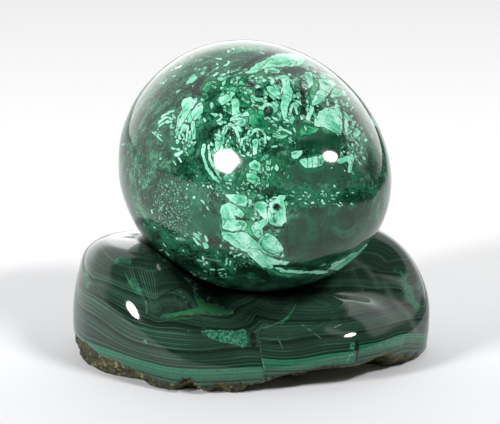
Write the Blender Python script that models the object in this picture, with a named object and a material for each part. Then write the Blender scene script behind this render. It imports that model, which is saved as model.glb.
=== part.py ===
"""A polished malachite egg lying in the hollow of a freeform malachite stand.

The egg is one turned solid with a few open cavities. The stand is one piece of
stone: a polished top and sides, and a broken underside whose high spots are
ground flat where it meets the table.
"""

import math

import bmesh
import bpy
import numpy as np
from mathutils import Matrix, Vector

MM = 0.001

# The egg lies on its side, with its narrow end to the front right.
EGG_LENGTH = 80 * MM
EGG_WIDTH = 62.7 * MM
EGG_TAPER = 0.147
EGG_HEADING = math.radians(-54.8)
EGG_CENTRE = Vector((1.5, 0.4, 48.4)) * MM
EGG_SEGMENTS = 56
EGG_RINGS = 34

# Small open cavities in the egg's skin, as seen from the front and 15 degrees above.
VIEW_DOWN = math.radians(15)
CAVITIES = (
    {"name": "lower ring", "across": 3.9, "up": -9.7, "radius": 1.6},
    {"name": "under the crown, left", "across": -2.7, "up": 21.4, "radius": 1.3},
    {"name": "under the crown, right", "across": 4.2, "up": 22.2, "radius": 1.1},
    {"name": "in the arch", "across": -8.0, "up": 9.2, "radius": 1.0},
)
CAVITY_DEPTH = 0.45

# The stand from above: its reach from the middle, anticlockwise from the right
# in even steps of angle. The other lists go round in the same steps.
REACH = [
    reach * MM
    for reach in (44.9, 44.6, 42.5, 40.0, 37.8, 36.0, 35.3, 36.0, 38.0, 41.0, 44.2, 46.3,
                  46.6, 44.8, 41.0, 38.4, 36.8, 34.2, 32.2, 32.0, 33.6, 36.6, 38.0, 41.4)
]
# The polished top at its edge, before the edge is rounded.
EDGE_HEIGHT = [
    height * MM
    for height in (26, 33, 34, 31.5, 28, 26, 25, 24.5, 24.8, 26, 27.2, 28.6,
                   29.8, 30, 29, 25, 19.5, 15.6, 14.4, 14.8, 16, 17.8, 18.4, 18.6)
]
EDGE_ROUND = [
    radius * MM
    for radius in (13, 12, 12, 12, 11, 10, 9, 8, 6, 5, 4.5, 4.5,
                   5, 8, 12, 12, 10, 8, 8, 8, 8, 9, 10, 11)
]
# The top's height in the middle. It climbs from one share of the reach to another
# and runs on level from there to the edge.
FLOOR_HEIGHT = 17.6 * MM
CLIMB_START = 0.2
CLIMB_END = (0.95, 0.95, 0.95, 0.9, 0.85, 0.8, 0.8, 0.8, 0.75, 0.7, 0.66, 0.62,
             0.6, 0.62, 0.7, 0.8, 0.9, 0.95, 0.95, 0.95, 0.95, 0.95, 0.95, 0.95)
# The height where the side bulges most, and how far it falls back above and below.
BULGE_HEIGHT = [
    height * MM
    for height in (9, 9, 9, 9, 9, 9, 9, 9, 9, 9, 9, 9,
                   9, 9, 8, 5, 1, 0, 0, 0, 0, 1, 3, 7)
]
BULGE = 4 * MM
BULGE_SPAN = 20 * MM
# Soft rises and dips of the top, then soft bumps of the side, in millimetres.
SWELLS = (
    {"name": "rise beside the egg", "at": (20, 4), "high": 3.5, "wide": 7},
    {"name": "dip at the right", "at": (36, 4), "high": -5, "wide": 8},
)
KNUCKLES = (
    {"name": "left shoulder", "at": (-31, -20, 25), "high": 1.6, "wide": 7.5},
    {"name": "right front corner", "at": (32, -21, 12.5), "high": 1.2, "wide": 6},
)
SEAT_GAP = 0.35 * MM
SEAT_RIM = 3 * MM

# The break where the polish ends, and the broken underside below it.
BREAK_HEIGHT = [
    height * MM
    for height in (0.6, 2.6, 4.0, 4.5, 4.0, 3.0, 2.5, 3.0, 4.5, 5.5, 5.0, 4.0,
                   3.3, 3.6, 3.0, 2.4, 1.4, 2.4, 2.6, 4.4, 5.2, 5.4, 5.6, 2.2)
]
# How far in from the edge the underside first meets the table.
UNDERCUT = [
    inset * MM
    for inset in (5, 7, 8, 8, 8, 9, 10, 9, 8, 6, 4, 2.4,
                  1.8, 1.7, 1.8, 2.0, 2.2, 4, 11, 19, 26, 30, 30, 10)
]
RUBBLE_HEIGHT = 1.7 * MM
RUBBLE_LENGTHS = (24 * MM, 6 * MM)
RUBBLE_WAVES = 14
RUBBLE_SEED = 18
FOOT_SINK = 1.0 * MM
# The notch at the foot of the crack that runs down the front, and how narrow its
# edge is as a share of its foot.
NOTCH_CENTRE = Vector((2.6, -31.5, 3.2)) * MM
NOTCH_SIZE = Vector((1.3, 9.0, 4.2)) * MM
NOTCH_EDGE = 0.15

STAND_CELLS = (30, 24, 10)
# The core that the stand's points start from: how far in its rim lies, how thick
# it is beside the stone, and the share of the side's cells that start level.
CORE_DEPTH = 10 * MM
CORE_THICKNESS = 0.4
CORE_SIDE = 0.35
# The furthest that a point slides, and how often the way to the skin is halved.
FARTHEST = 60 * MM
HALVINGS = 40
# How far along its axis the egg's outline is followed, in half lengths.
OUTLINE_END = 1.6
MERGE_DISTANCE = 0.01 * MM


def at_angle(values, angle):
    """A smooth closed curve through values given at even steps of angle."""
    values = np.asarray(values)
    steps = len(values)
    place = (angle / (2 * math.pi) * steps) % steps
    first = np.floor(place).astype(int) % steps
    t = place - np.floor(place)
    a, b, c, d = (values[(first + k) % steps] for k in (-1, 0, 1, 2))
    bend = (2 * a - 5 * b + 4 * c - d) * t**2 + (3 * b - a - 3 * c + d) * t**3
    return 0.5 * (2 * b + (c - a) * t + bend)


def smooth_step(start, end, value):
    share = np.clip((value - start) / (end - start), 0, 1)
    return share * share * (3 - 2 * share)


def smooth_lower(a, b, reach):
    """The lower of two values, blended where they come within reach."""
    share = np.clip(0.5 + 0.5 * (b - a) / reach, 0, 1)
    return b + (a - b) * share - reach * share * (1 - share)


def egg_turn():
    """The egg's own +X is its long axis, narrow end forward."""
    return Matrix.Translation(EGG_CENTRE) @ Matrix.Rotation(EGG_HEADING, 4, "Z")


def outside_egg(x, y, z):
    """How far a point lies outside the egg, measured along the ray from its centre."""
    turn = np.array(egg_turn().inverted())[:3]
    local = turn @ np.stack([x, y, z, np.ones_like(x)])
    along = np.clip(local[0] / (EGG_LENGTH / 2), -OUTLINE_END, OUTLINE_END)
    girth = EGG_WIDTH / 2 * (1 - EGG_TAPER * along)
    level = np.sqrt(along**2 + (local[1] ** 2 + local[2] ** 2) / girth**2)
    distance = np.sqrt((local**2).sum(axis=0))
    return distance * (1 - 1 / np.maximum(level, 0.05))


def bump_at(place, bump):
    """A round bump, or a dip where it is negative, that fades out evenly."""
    away = sum((value / MM - middle) ** 2 for value, middle in zip(place, bump["at"]))
    return bump["high"] * MM * np.exp(-away / (2 * bump["wide"] ** 2))


def top_height(x, y):
    angle = np.arctan2(y, x)
    out = np.hypot(x, y) / at_angle(REACH, angle)
    climb = smooth_step(CLIMB_START, at_angle(CLIMB_END, angle), out)
    height = FLOOR_HEIGHT + (at_angle(EDGE_HEIGHT, angle) - FLOOR_HEIGHT) * climb
    return height + sum(bump_at((x, y), swell) for swell in SWELLS)


def rubble(x, y):
    """Broken rock: a sum of waves in random directions, the shorter ones lower."""
    chance = np.random.default_rng(RUBBLE_SEED)
    longest, shortest = RUBBLE_LENGTHS
    total = np.zeros_like(x)
    for length in np.geomspace(longest, shortest, RUBBLE_WAVES):
        turn = chance.uniform(0, math.pi)
        phase = chance.uniform(0, 2 * math.pi)
        along = x * math.cos(turn) + y * math.sin(turn)
        total += (length / longest) ** 0.7 * np.sin(2 * math.pi * along / length + phase)
    return RUBBLE_HEIGHT * total / 2


def underside_height(x, y, inset):
    """It drops inwards from the break, and is ground flat at the table's height."""
    angle = np.arctan2(y, x)
    undercut = at_angle(UNDERCUT, angle)
    drop = smooth_step(0, undercut, inset)
    edge = at_angle(BREAK_HEIGHT, angle) * (1 - drop) - FOOT_SINK * drop
    return np.maximum(edge + rubble(x, y) * smooth_step(0, undercut / 2, inset), 0)


def inside_stand(x, y, z):
    """Positive inside the stand and zero on its skin."""
    angle = np.arctan2(y, x)
    side = BULGE * ((z - at_angle(BULGE_HEIGHT, angle)) / BULGE_SPAN) ** 2
    inset = at_angle(REACH, angle) - side - np.hypot(x, y)
    inset = inset + sum(bump_at((x, y, z), knuckle) for knuckle in KNUCKLES)
    below_top = top_height(x, y) - z
    curve = at_angle(EDGE_ROUND, angle)
    corner = curve - np.hypot(np.maximum(curve - inset, 0), np.maximum(curve - below_top, 0))
    in_corner = (inset < curve) & (below_top < curve)
    rolled = np.where(in_corner, corner, np.minimum(inset, below_top))
    seated = smooth_lower(rolled, outside_egg(x, y, z) - SEAT_GAP, SEAT_RIM)
    return np.minimum(seated, z - underside_height(x, y, inset))


def skin_of_stand(cube):
    """Moves the points of a cube from -1 to 1 out to the stand's skin.

    Each point starts on a flat core inside the stone and slides outwards along a
    ray of its own: up or down over the core, level beside it, and fanning round
    at the core's rim.
    """
    flat = cube[:, :2] * np.sqrt(1 - cube[:, 1::-1] ** 2 / 2)
    angle = np.arctan2(flat[:, 1], flat[:, 0])
    out = np.clip(np.hypot(flat[:, 0], flat[:, 1]), 0, 1)
    up = np.abs(cube[:, 2])
    reach = at_angle(REACH, angle)
    rim = 1 / (1 + math.pi / 4 * CORE_DEPTH / (reach - CORE_DEPTH))
    core = (reach - CORE_DEPTH) * np.minimum(out / rim, 1)
    x, y = core * np.cos(angle), core * np.sin(angle)
    seat = EGG_CENTRE.z - EGG_WIDTH / 2 + (core**2) / EGG_WIDTH
    ceiling = np.minimum(top_height(x, y), seat)
    floor = at_angle(BREAK_HEIGHT, angle) * out**2
    middle = (ceiling + floor) / 2
    thick = (ceiling - floor) / 2
    z = middle + np.sign(cube[:, 2]) * thick * CORE_THICKNESS * np.minimum(up / CORE_SIDE, 1)
    lean = np.tan(math.pi / 4 * np.clip((out - rim) / (1 - rim), 0, 1))
    lift = np.tan(math.pi / 4 * np.clip((up - CORE_SIDE) / (1 - CORE_SIDE), 0, 1))
    ray = np.stack([lean * np.cos(angle), lean * np.sin(angle), lift * np.sign(cube[:, 2])])
    ray /= np.linalg.norm(ray, axis=0)
    near, far = np.zeros(len(cube)), np.full(len(cube), FARTHEST)
    for _ in range(HALVINGS):
        half = (near + far) / 2
        inside = inside_stand(x + ray[0] * half, y + ray[1] * half, z + ray[2] * half) > 0
        near, far = np.where(inside, half, near), np.where(inside, far, half)
    return np.stack([x, y, z], 1) + ray.T * near[:, None]


def cube_grid(cells):
    """A cube from -1 to 1 whose faces are cut into a grid, with cells along X, Y and Z."""
    mesh = bmesh.new()
    bmesh.ops.create_cube(mesh, size=2)
    for axis, count in enumerate(cells):
        edges = [e for e in mesh.edges if abs(e.verts[0].co[axis] - e.verts[1].co[axis]) > 1]
        bmesh.ops.subdivide_edges(mesh, edges=edges, cuts=count - 1, use_grid_fill=True)
    return mesh


def stone(name, colour, roughness):
    material = bpy.data.materials.new(name)
    material.use_nodes = True
    shader = material.node_tree.nodes["Principled BSDF"]
    shader.inputs["Base Color"].default_value = (*colour, 1)
    shader.inputs["Roughness"].default_value = roughness
    shader.inputs["Metallic"].default_value = 0
    return material


def add_object(name, mesh, material=None):
    data = bpy.data.meshes.new(name)
    mesh.to_mesh(data)
    mesh.free()
    if material:
        data.materials.append(material)
    made = bpy.data.objects.new(name, data)
    bpy.context.scene.collection.objects.link(made)
    return made


def cut(piece, cutter):
    cutter.hide_render = True
    cutter.display_type = "WIRE"
    boolean = piece.modifiers.new(cutter.name, "BOOLEAN")
    boolean.operation = "DIFFERENCE"
    boolean.solver = "EXACT"
    boolean.object = cutter


def make_notch():
    """A wedge that stands on its broad side, its edge upwards."""
    mesh = bmesh.new()
    bmesh.ops.create_cube(mesh, size=1)
    for vertex in mesh.verts:
        if vertex.co.z > 0:
            vertex.co.x *= NOTCH_EDGE
        vertex.co *= NOTCH_SIZE
    notch = add_object("notch_cutter", mesh)
    notch.location = NOTCH_CENTRE
    return notch


def make_stand():
    mesh = cube_grid(STAND_CELLS)
    cube = np.array([v.co for v in mesh.verts])
    for vertex, place in zip(mesh.verts, skin_of_stand(cube)):
        vertex.co = place
    bmesh.ops.recalc_face_normals(mesh, faces=mesh.faces)
    stand = add_object("stand", mesh, stone("banded malachite", (0.02, 0.13, 0.08), 0.2))
    cut(stand, make_notch())
    return stand


def on_egg_front(across, up):
    """The point of the egg's skin that is seen at this place from the front."""
    toward = Vector((0, -math.cos(VIEW_DOWN), math.sin(VIEW_DOWN)))
    upward = Vector((0, math.sin(VIEW_DOWN), math.cos(VIEW_DOWN)))
    start = EGG_CENTRE + Vector((1, 0, 0)) * across * MM + upward * up * MM
    near, far = 0.0, EGG_LENGTH
    for _ in range(HALVINGS):
        half = (near + far) / 2
        place = np.array(start + toward * half)[:, None]
        if outside_egg(*place)[0] < 0:
            near = half
        else:
            far = half
    return start + toward * near


def make_egg():
    mesh = bmesh.new()
    profile = []
    for turn in np.linspace(0, math.pi, EGG_RINGS + 1):
        along = -math.cos(turn)
        radius = EGG_WIDTH / 2 * math.sin(turn) * (1 - EGG_TAPER * along)
        profile.append(mesh.verts.new((EGG_LENGTH / 2 * along, 0, radius)))
    edges = [mesh.edges.new(pair) for pair in zip(profile, profile[1:])]
    bmesh.ops.spin(mesh, geom=profile + edges, cent=(0, 0, 0), axis=(1, 0, 0),
                   angle=2 * math.pi, steps=EGG_SEGMENTS, use_merge=True)
    bmesh.ops.remove_doubles(mesh, verts=mesh.verts, dist=MERGE_DISTANCE)
    bmesh.ops.recalc_face_normals(mesh, faces=mesh.faces)
    egg = add_object("egg", mesh, stone("brecciated malachite", (0.03, 0.22, 0.13), 0.15))
    egg.matrix_world = egg_turn()
    for cavity in CAVITIES:
        mesh = bmesh.new()
        bmesh.ops.create_icosphere(mesh, subdivisions=2, radius=cavity["radius"] * MM)
        cutter = add_object("cavity " + cavity["name"], mesh)
        skin = on_egg_front(cavity["across"], cavity["up"])
        outward = (skin - EGG_CENTRE).normalized()
        cutter.location = skin + outward * cavity["radius"] * MM * (1 - 2 * CAVITY_DEPTH)
        cut(egg, cutter)
    return egg


for old in list(bpy.data.objects):
    bpy.data.objects.remove(old)
make_stand()
make_egg()
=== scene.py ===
# A polished malachite egg lying in the hollow of its malachite stand.
import math
import bmesh
import bpy
import numpy as np
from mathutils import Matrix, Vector


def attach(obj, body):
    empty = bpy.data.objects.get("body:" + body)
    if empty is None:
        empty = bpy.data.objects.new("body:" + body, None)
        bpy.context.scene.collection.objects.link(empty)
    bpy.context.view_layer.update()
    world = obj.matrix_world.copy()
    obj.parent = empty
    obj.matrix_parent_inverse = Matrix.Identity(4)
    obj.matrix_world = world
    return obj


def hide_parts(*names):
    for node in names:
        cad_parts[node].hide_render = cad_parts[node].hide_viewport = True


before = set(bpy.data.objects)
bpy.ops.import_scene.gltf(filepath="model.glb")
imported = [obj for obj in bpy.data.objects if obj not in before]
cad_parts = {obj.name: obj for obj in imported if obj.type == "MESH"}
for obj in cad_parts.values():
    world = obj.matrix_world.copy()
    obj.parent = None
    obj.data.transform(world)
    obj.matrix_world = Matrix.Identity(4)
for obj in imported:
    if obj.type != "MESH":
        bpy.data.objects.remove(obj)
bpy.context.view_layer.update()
mm = 0.001

# Where the photo was taken from. Places in the photo are pixels of its 500 x 424 frame.
view = {
    "size": (500, 424),
    "sensor": 36.0,
    "lens": 182.35,
    "down": math.radians(16),
    "distance": 0.640,             # to the egg's centre
    "eggAt": (260.47, 169.84),     # the egg's centre in the photo
}

eggShape = {
    "length": 80 * mm,
    "width": 62.7 * mm,
    "taper": 0.147,
    "heading": math.radians(-54.8),
    "centre": Vector((1.5, 0.4, 48.4)) * mm,
    "cells": 128,                  # along each side of the cube that it is rounded from
    "crowding": .6,                # the cells on the marked front are this much smaller
    "ripple": 0.03 * mm,           # how far the hand polish left it from true
}


def shade(red, green, blue):       # a screen colour, 0 to 255, as shaders want it
    linear = [((c / 255 + 0.055) / 1.055) ** 2.4 if c > 10 else c / 255 / 12.92 for c in (red, green, blue)]
    return (*linear, 1)


# camera
forward = Vector((0, math.cos(view["down"]), -math.sin(view["down"])))
upward = Vector((0, math.sin(view["down"]), math.cos(view["down"])))
rightward = Vector((1, 0, 0))
focal = view["lens"] / view["sensor"] * view["size"][0]     # in pixels
middle = (view["size"][0] / 2, view["size"][1] / 2)


def photoRay(x, y):                # the direction seen at a pixel of the photo
    return forward + rightward * (x - middle[0]) / focal + upward * (middle[1] - y) / focal


cameraAt = eggShape["centre"] - photoRay(*view["eggAt"]) * view["distance"]


def inPhoto(points):               # where points in space show in the photo, in pixels
    away = points - np.array(cameraAt)
    depth = away @ np.array(forward)
    across = middle[0] + focal * (away @ np.array(rightward)) / depth
    down = middle[1] - focal * (away @ np.array(upward)) / depth
    return np.stack([across, down], 1)


def addObject(name, data):
    made = bpy.data.objects.new(name, data)
    bpy.context.scene.collection.objects.link(made)
    return made


def addCamera():
    data = bpy.data.cameras.new("camera")
    data.sensor_width = view["sensor"]
    data.lens = view["lens"]
    camera = addObject("camera", data)
    camera.location = cameraAt
    camera.rotation_euler = (math.pi / 2 - view["down"], 0, 0)
    bpy.context.scene.camera = camera
    print("camera:", round(view["distance"] / mm), "mm from the egg")


# node helpers
def put(tree, kind, wires=None, **settings):
    node = tree.nodes.new("ShaderNode" + kind)
    for name, value in settings.items():
        setattr(node, name, value)
    for socket, value in (wires or {}).items():
        if isinstance(value, bpy.types.NodeSocket):
            tree.links.new(value, node.inputs[socket])
        else:
            node.inputs[socket].default_value = value
    return node


def calc(tree, operation, a, b=0.0, c=0.0):
    return put(tree, "Math", {0: a, 1: b, 2: c}, operation=operation).outputs[0]


def fade(tree, value, start, end, low=0.0, high=1.0):
    wires = {"Value": value, "From Min": start, "From Max": end, "To Min": low, "To Max": high}
    return put(tree, "MapRange", wires, interpolation_type="SMOOTHSTEP").outputs[0]


def vectorOf(tree, operation, a, b):
    return put(tree, "VectorMath", {0: a, 1: b}, operation=operation).outputs[0]


def centred(tree, value):          # moves a value between 0 and 1 to lie round 0
    return calc(tree, "SUBTRACT", value, 0.5)


def mixIn(tree, factor, below, above, share=None):
    if share is not None:          # how strongly the factor counts
        factor = calc(tree, "MULTIPLY", factor, share)
    return put(tree, "Mix", {0: factor, 6: below, 7: above}, data_type="RGBA").outputs[2]


def grain(tree, look, name, place, output="Fac"):      # noise, as the look's grains describe it
    wires = dict(zip(("Scale", "Detail", "Roughness", "Distortion"), look["grains"][name]))
    return put(tree, "TexNoise", {"Vector": place, **wires}).outputs[output]


def layerGrain(tree, level, scale):        # noise that only changes from layer to layer
    wires = {"W": level, "Scale": scale, "Detail": 2}
    return put(tree, "TexNoise", wires, noise_dimensions="1D").outputs["Fac"]


def lineChance(tree, count):       # a random number for each counted line
    line = calc(tree, "FLOOR", calc(tree, "ADD", count, 0.5))
    return put(tree, "TexWhiteNoise", {"W": line}, noise_dimensions="1D").outputs["Value"]


def seams(tree, place, scale):     # how far each point lies from the edge of its broken grain
    wires = {"Vector": place, "Scale": scale}
    return put(tree, "TexVoronoi", wires, feature="DISTANCE_TO_EDGE").outputs["Distance"]


def rampOf(tree, value, stops):    # each stop is a place and a screen colour
    node = put(tree, "ValToRGB", {"Fac": value})
    ramp = node.color_ramp
    while len(ramp.elements) < len(stops):
        ramp.elements.new(0.5)
    for element, (place, *colour) in zip(ramp.elements, stops):
        element.position = place
    for element, (place, *colour) in zip(ramp.elements, stops):
        element.color = shade(*colour)
    return node.outputs["Color"]


def painted(tree, name):           # a value painted on the piece's points
    return put(tree, "Attribute", attribute_name=name).outputs["Fac"]


def edge(tree, name, ragged, rough, soft):     # 1 inside a painted mark, with an uneven edge
    return fade(tree, calc(tree, "MULTIPLY_ADD", ragged, rough, painted(tree, name)), soft, -soft)


def startMaterial(name):
    material = bpy.data.materials.new(name)
    material.use_nodes = True
    tree = material.node_tree
    return material, tree, tree.nodes["Principled BSDF"]


def finishMaterial(tree, shader, look, colour, gloss, height):
    colour = put(tree, "HueSaturation", {"Color": colour, **look["depth"]}).outputs[0]
    bump = put(tree, "Bump", {"Height": height, **look["bump"]}).outputs[0]
    for socket, value in (("Base Color", colour), ("Roughness", gloss), ("Normal", bump)):
        tree.links.new(value, shader.inputs[socket])
    shader.inputs["IOR"].default_value = look["ior"]


# The studio is a white tent. Ways out from the object have parts between -1 and 1. Two numbers are where
# something starts to fade in and where it is full, and two more are its least and its most.
studio = {
    "sky": 1.15,                   # the white tent around
    "back": 1.3,                   # how much brighter its lit back wall is
    "backAlong": (0.4, 0.85),
    "backUp": (0.55, 0.3),
    "front": 0.07,                 # the dark room behind the camera
    "frontAlong": (-0.18, 0.06),
    "leanUp": (0.58, 0.92, 0, 0.55),                            # the tent's opening leans back overhead
    "gapAcross": (0.45, 0.75),     # an open corner on the right
    "gapUp": (0.4, 0.2),
    "gapAlong": (0.85, 0.6, 0, 0.85),
    "floor": shade(252, 252, 253),
    # painted shade: the floor is darker towards the front
    "floorShadedNear": shade(228, 228, 232),
    "floorShadedBeyond": shade(70, 72, 70),                              # painted shade: the floor turns dark past its front and right edges, outside the camera's view, so the stone reflects dark there
    "floorRadius": 4,
    "nearAlong": (-0.12, 0.15),    # in metres, as the two below
    "endAcross": (0.16, 0.3),
    "endAlong": (-0.09, -0.4),
    "lights": (
        {"name": "left light", "turn": -53.7, "up": 22.4, "wide": 12, "tall": 20, "power": 45},
        {"name": "right light", "turn": 50.4, "up": 45.5, "wide": 19, "tall": 8, "power": 50},
    ),
    "lightAway": 1.2,
}


def addStudio():
    bpy.context.scene.view_settings.view_transform = "Standard"
    world = bpy.data.worlds.new("tent")
    bpy.context.scene.world = world
    world.use_nodes = True
    tree = world.node_tree
    way = put(tree, "TexCoord").outputs["Generated"]
    parts = put(tree, "SeparateXYZ", {0: way}).outputs
    opening = calc(tree, "SUBTRACT", parts["Y"], fade(tree, parts["Z"], *studio["leanUp"]))
    bright = fade(tree, opening, *studio["frontAlong"], studio["front"], studio["sky"])
    gap = fade(tree, parts["X"], *studio["gapAcross"])
    gap = calc(tree, "MULTIPLY", gap, fade(tree, parts["Z"], *studio["gapUp"]))
    gap = calc(tree, "MULTIPLY", gap, fade(tree, parts["Y"], *studio["gapAlong"]))
    bright = calc(tree, "MULTIPLY", bright, calc(tree, "SUBTRACT", 1, gap))
    back = fade(tree, parts["Y"], *studio["backAlong"], 0, studio["back"])
    back = calc(tree, "MULTIPLY", back, fade(tree, parts["Z"], *studio["backUp"]))
    tree.links.new(calc(tree, "ADD", bright, back), tree.nodes["Background"].inputs["Strength"])
    tree.nodes["Background"].inputs["Color"].default_value = (1, 1, 1, 1)
    for lamp in studio["lights"]:
        data = bpy.data.lights.new(lamp["name"], "AREA")
        data.shape = "ELLIPSE"
        data.size = 2 * studio["lightAway"] * math.tan(math.radians(lamp["wide"] / 2))
        data.size_y = 2 * studio["lightAway"] * math.tan(math.radians(lamp["tall"] / 2))
        area = math.pi * data.size * data.size_y / 4
        data.energy = math.pi * area * lamp["power"]
        light = addObject(lamp["name"], data)
        turn, up = math.radians(lamp["turn"]), math.radians(lamp["up"])
        way = Vector((math.sin(turn) * math.cos(up), -math.cos(turn) * math.cos(up), math.sin(up)))
        light.location = eggShape["centre"] + way * studio["lightAway"]
        light.rotation_euler = way.to_track_quat("Z", "Y").to_euler()
    print("studio: a white tent and", len(studio["lights"]), "lamps")


def addFloor():
    mesh = bmesh.new()
    bmesh.ops.create_circle(mesh, cap_ends=True, radius=studio["floorRadius"], segments=64)
    data = bpy.data.meshes.new("floor")
    mesh.to_mesh(data)
    mesh.free()
    floor = addObject("floor", data)
    material, tree, shader = startMaterial("pale paper")
    place = put(tree, "SeparateXYZ", {0: put(tree, "TexCoord").outputs["Object"]}).outputs
    # painted shade: the floor darkens towards the front
    colour = mixIn(tree, fade(tree, place["Y"], *studio["nearAlong"]), studio["floorShadedNear"], studio["floor"])
    # painted shade: dark past the floor's front and right edges, outside the camera's view
    past = fade(tree, place["X"], *studio["endAcross"])
    past = calc(tree, "MAXIMUM", past, fade(tree, place["Y"], *studio["endAlong"]))
    colour = mixIn(tree, past, colour, studio["floorShadedBeyond"])
    tree.links.new(colour, shader.inputs["Base Color"])
    shader.inputs["Roughness"].default_value = 0.9
    shader.inputs["Specular IOR Level"].default_value = 0.1
    data.materials.append(material)
    print("floor: pale paper,", studio["floorRadius"], "m round")


# shared shaping
def cubeGrid(cells):               # a cube from -1 to 1, its faces cut into cells along X, Y and Z
    mesh = bmesh.new()
    bmesh.ops.create_cube(mesh, size=2)
    for axis, count in enumerate(cells):
        edges = [e for e in mesh.edges if abs(e.verts[0].co[axis] - e.verts[1].co[axis]) > 1]
        bmesh.ops.subdivide_edges(mesh, edges=edges, cuts=count - 1, use_grid_fill=True)
    return mesh


def addPiece(name, mesh, place):   # place gives each point of the cube its place in space
    data = bpy.data.meshes.new(name)
    mesh.to_mesh(data)
    mesh.free()
    piece = addObject(name, data)
    movePoints(piece, place(read(piece, "co")))
    return piece


def read(piece, what):             # the place (co) or the outward way (normal) of each point
    values = np.empty(len(piece.data.vertices) * 3)
    piece.data.vertices.foreach_get(what, values)
    return values.reshape(-1, 3)


def movePoints(piece, points):
    piece.data.vertices.foreach_set("co", points.ravel())
    piece.data.update()


def waves(points, longest, shortest, count, seed, fall=0.8):     # a smooth random field, about -1 to 1
    chance = np.random.default_rng(seed)
    total = np.zeros(len(points))
    weight = 0
    for length in np.geomspace(longest, shortest, count):
        way = chance.normal(size=3)
        way /= np.linalg.norm(way)
        phase = chance.uniform(0, 2 * math.pi)
        size = (length / longest) ** fall
        total += size * np.sin(2 * math.pi * points @ way / length + phase)
        weight += size * size
    return total / math.sqrt(weight)


def chainDistance(points, chain):  # how far points lie outside a chain of beads, each a place and a radius
    chain = np.array(chain, float)
    nearest = np.full(len(points), 1e3)
    ends = zip(chain, chain[1:]) if len(chain) > 1 else [(chain[0], chain[0])]
    for a, b in ends:
        line = b[:-1] - a[:-1]
        share = np.clip((points - a[:-1]) @ line / max(line @ line, 1e-12), 0, 1)
        gap = points - a[:-1] - share[:, None] * line
        nearest = np.minimum(nearest, np.sqrt((gap**2).sum(1)) - (a[-1] + (b[-1] - a[-1]) * share))
    return nearest


def outlineDistance(points, corners):      # how far points lie outside a closed outline
    nearest = np.full(len(points), 1e3)
    inside = np.zeros(len(points), bool)
    for a, b in zip(corners, np.roll(corners, -1, 0)):
        line = b - a
        share = np.clip((points - a) @ line / (line @ line), 0, 1)
        gap = points - a - share[:, None] * line
        nearest = np.minimum(nearest, np.sqrt((gap**2).sum(1)))
        crossed = (a[1] > points[:, 1]) != (b[1] > points[:, 1])
        across = a[0] + (points[:, 1] - a[1]) * line[0] / (line[1] or 1)
        inside ^= crossed & (points[:, 0] < across)
    return np.where(inside, -nearest, nearest)


markMargin = 12                    # no mark shows further out than this


def marksDistance(points, marks):  # the nearest mark, and how much further the next one is
    first = np.full(len(points), 1e3)
    second = np.full(len(points), 1e3)
    for mark in marks:
        traced = len(mark[0]) == 2
        corners = fromTracing(mark) if traced else np.array(mark, float)[:, :-1]
        near = ((points > corners.min(0) - markMargin) & (points < corners.max(0) + markMargin)).all(1)
        if not near.any():
            continue
        gap = outlineDistance(points[near], corners) if traced else chainDistance(points[near], mark)
        second[near] = np.minimum(second[near], np.maximum(first[near], gap))
        first[near] = np.minimum(first[near], gap)
    return first, second - first


def paint(piece, name, values):
    piece.data.attributes.new(name, "FLOAT", "POINT").data.foreach_set("value", values.astype(np.float32))


def smoothStep(start, end, value):
    share = np.clip((value - start) / (end - start), 0, 1)
    return share * share * (3 - 2 * share)


# The egg's larger markings are outlines traced on an enlargement of the photo.
tracing = {"corner": (115, 35), "scale": 5.6}


def fromTracing(outline):
    return np.array(outline) / tracing["scale"] + np.array(tracing["corner"])


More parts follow.
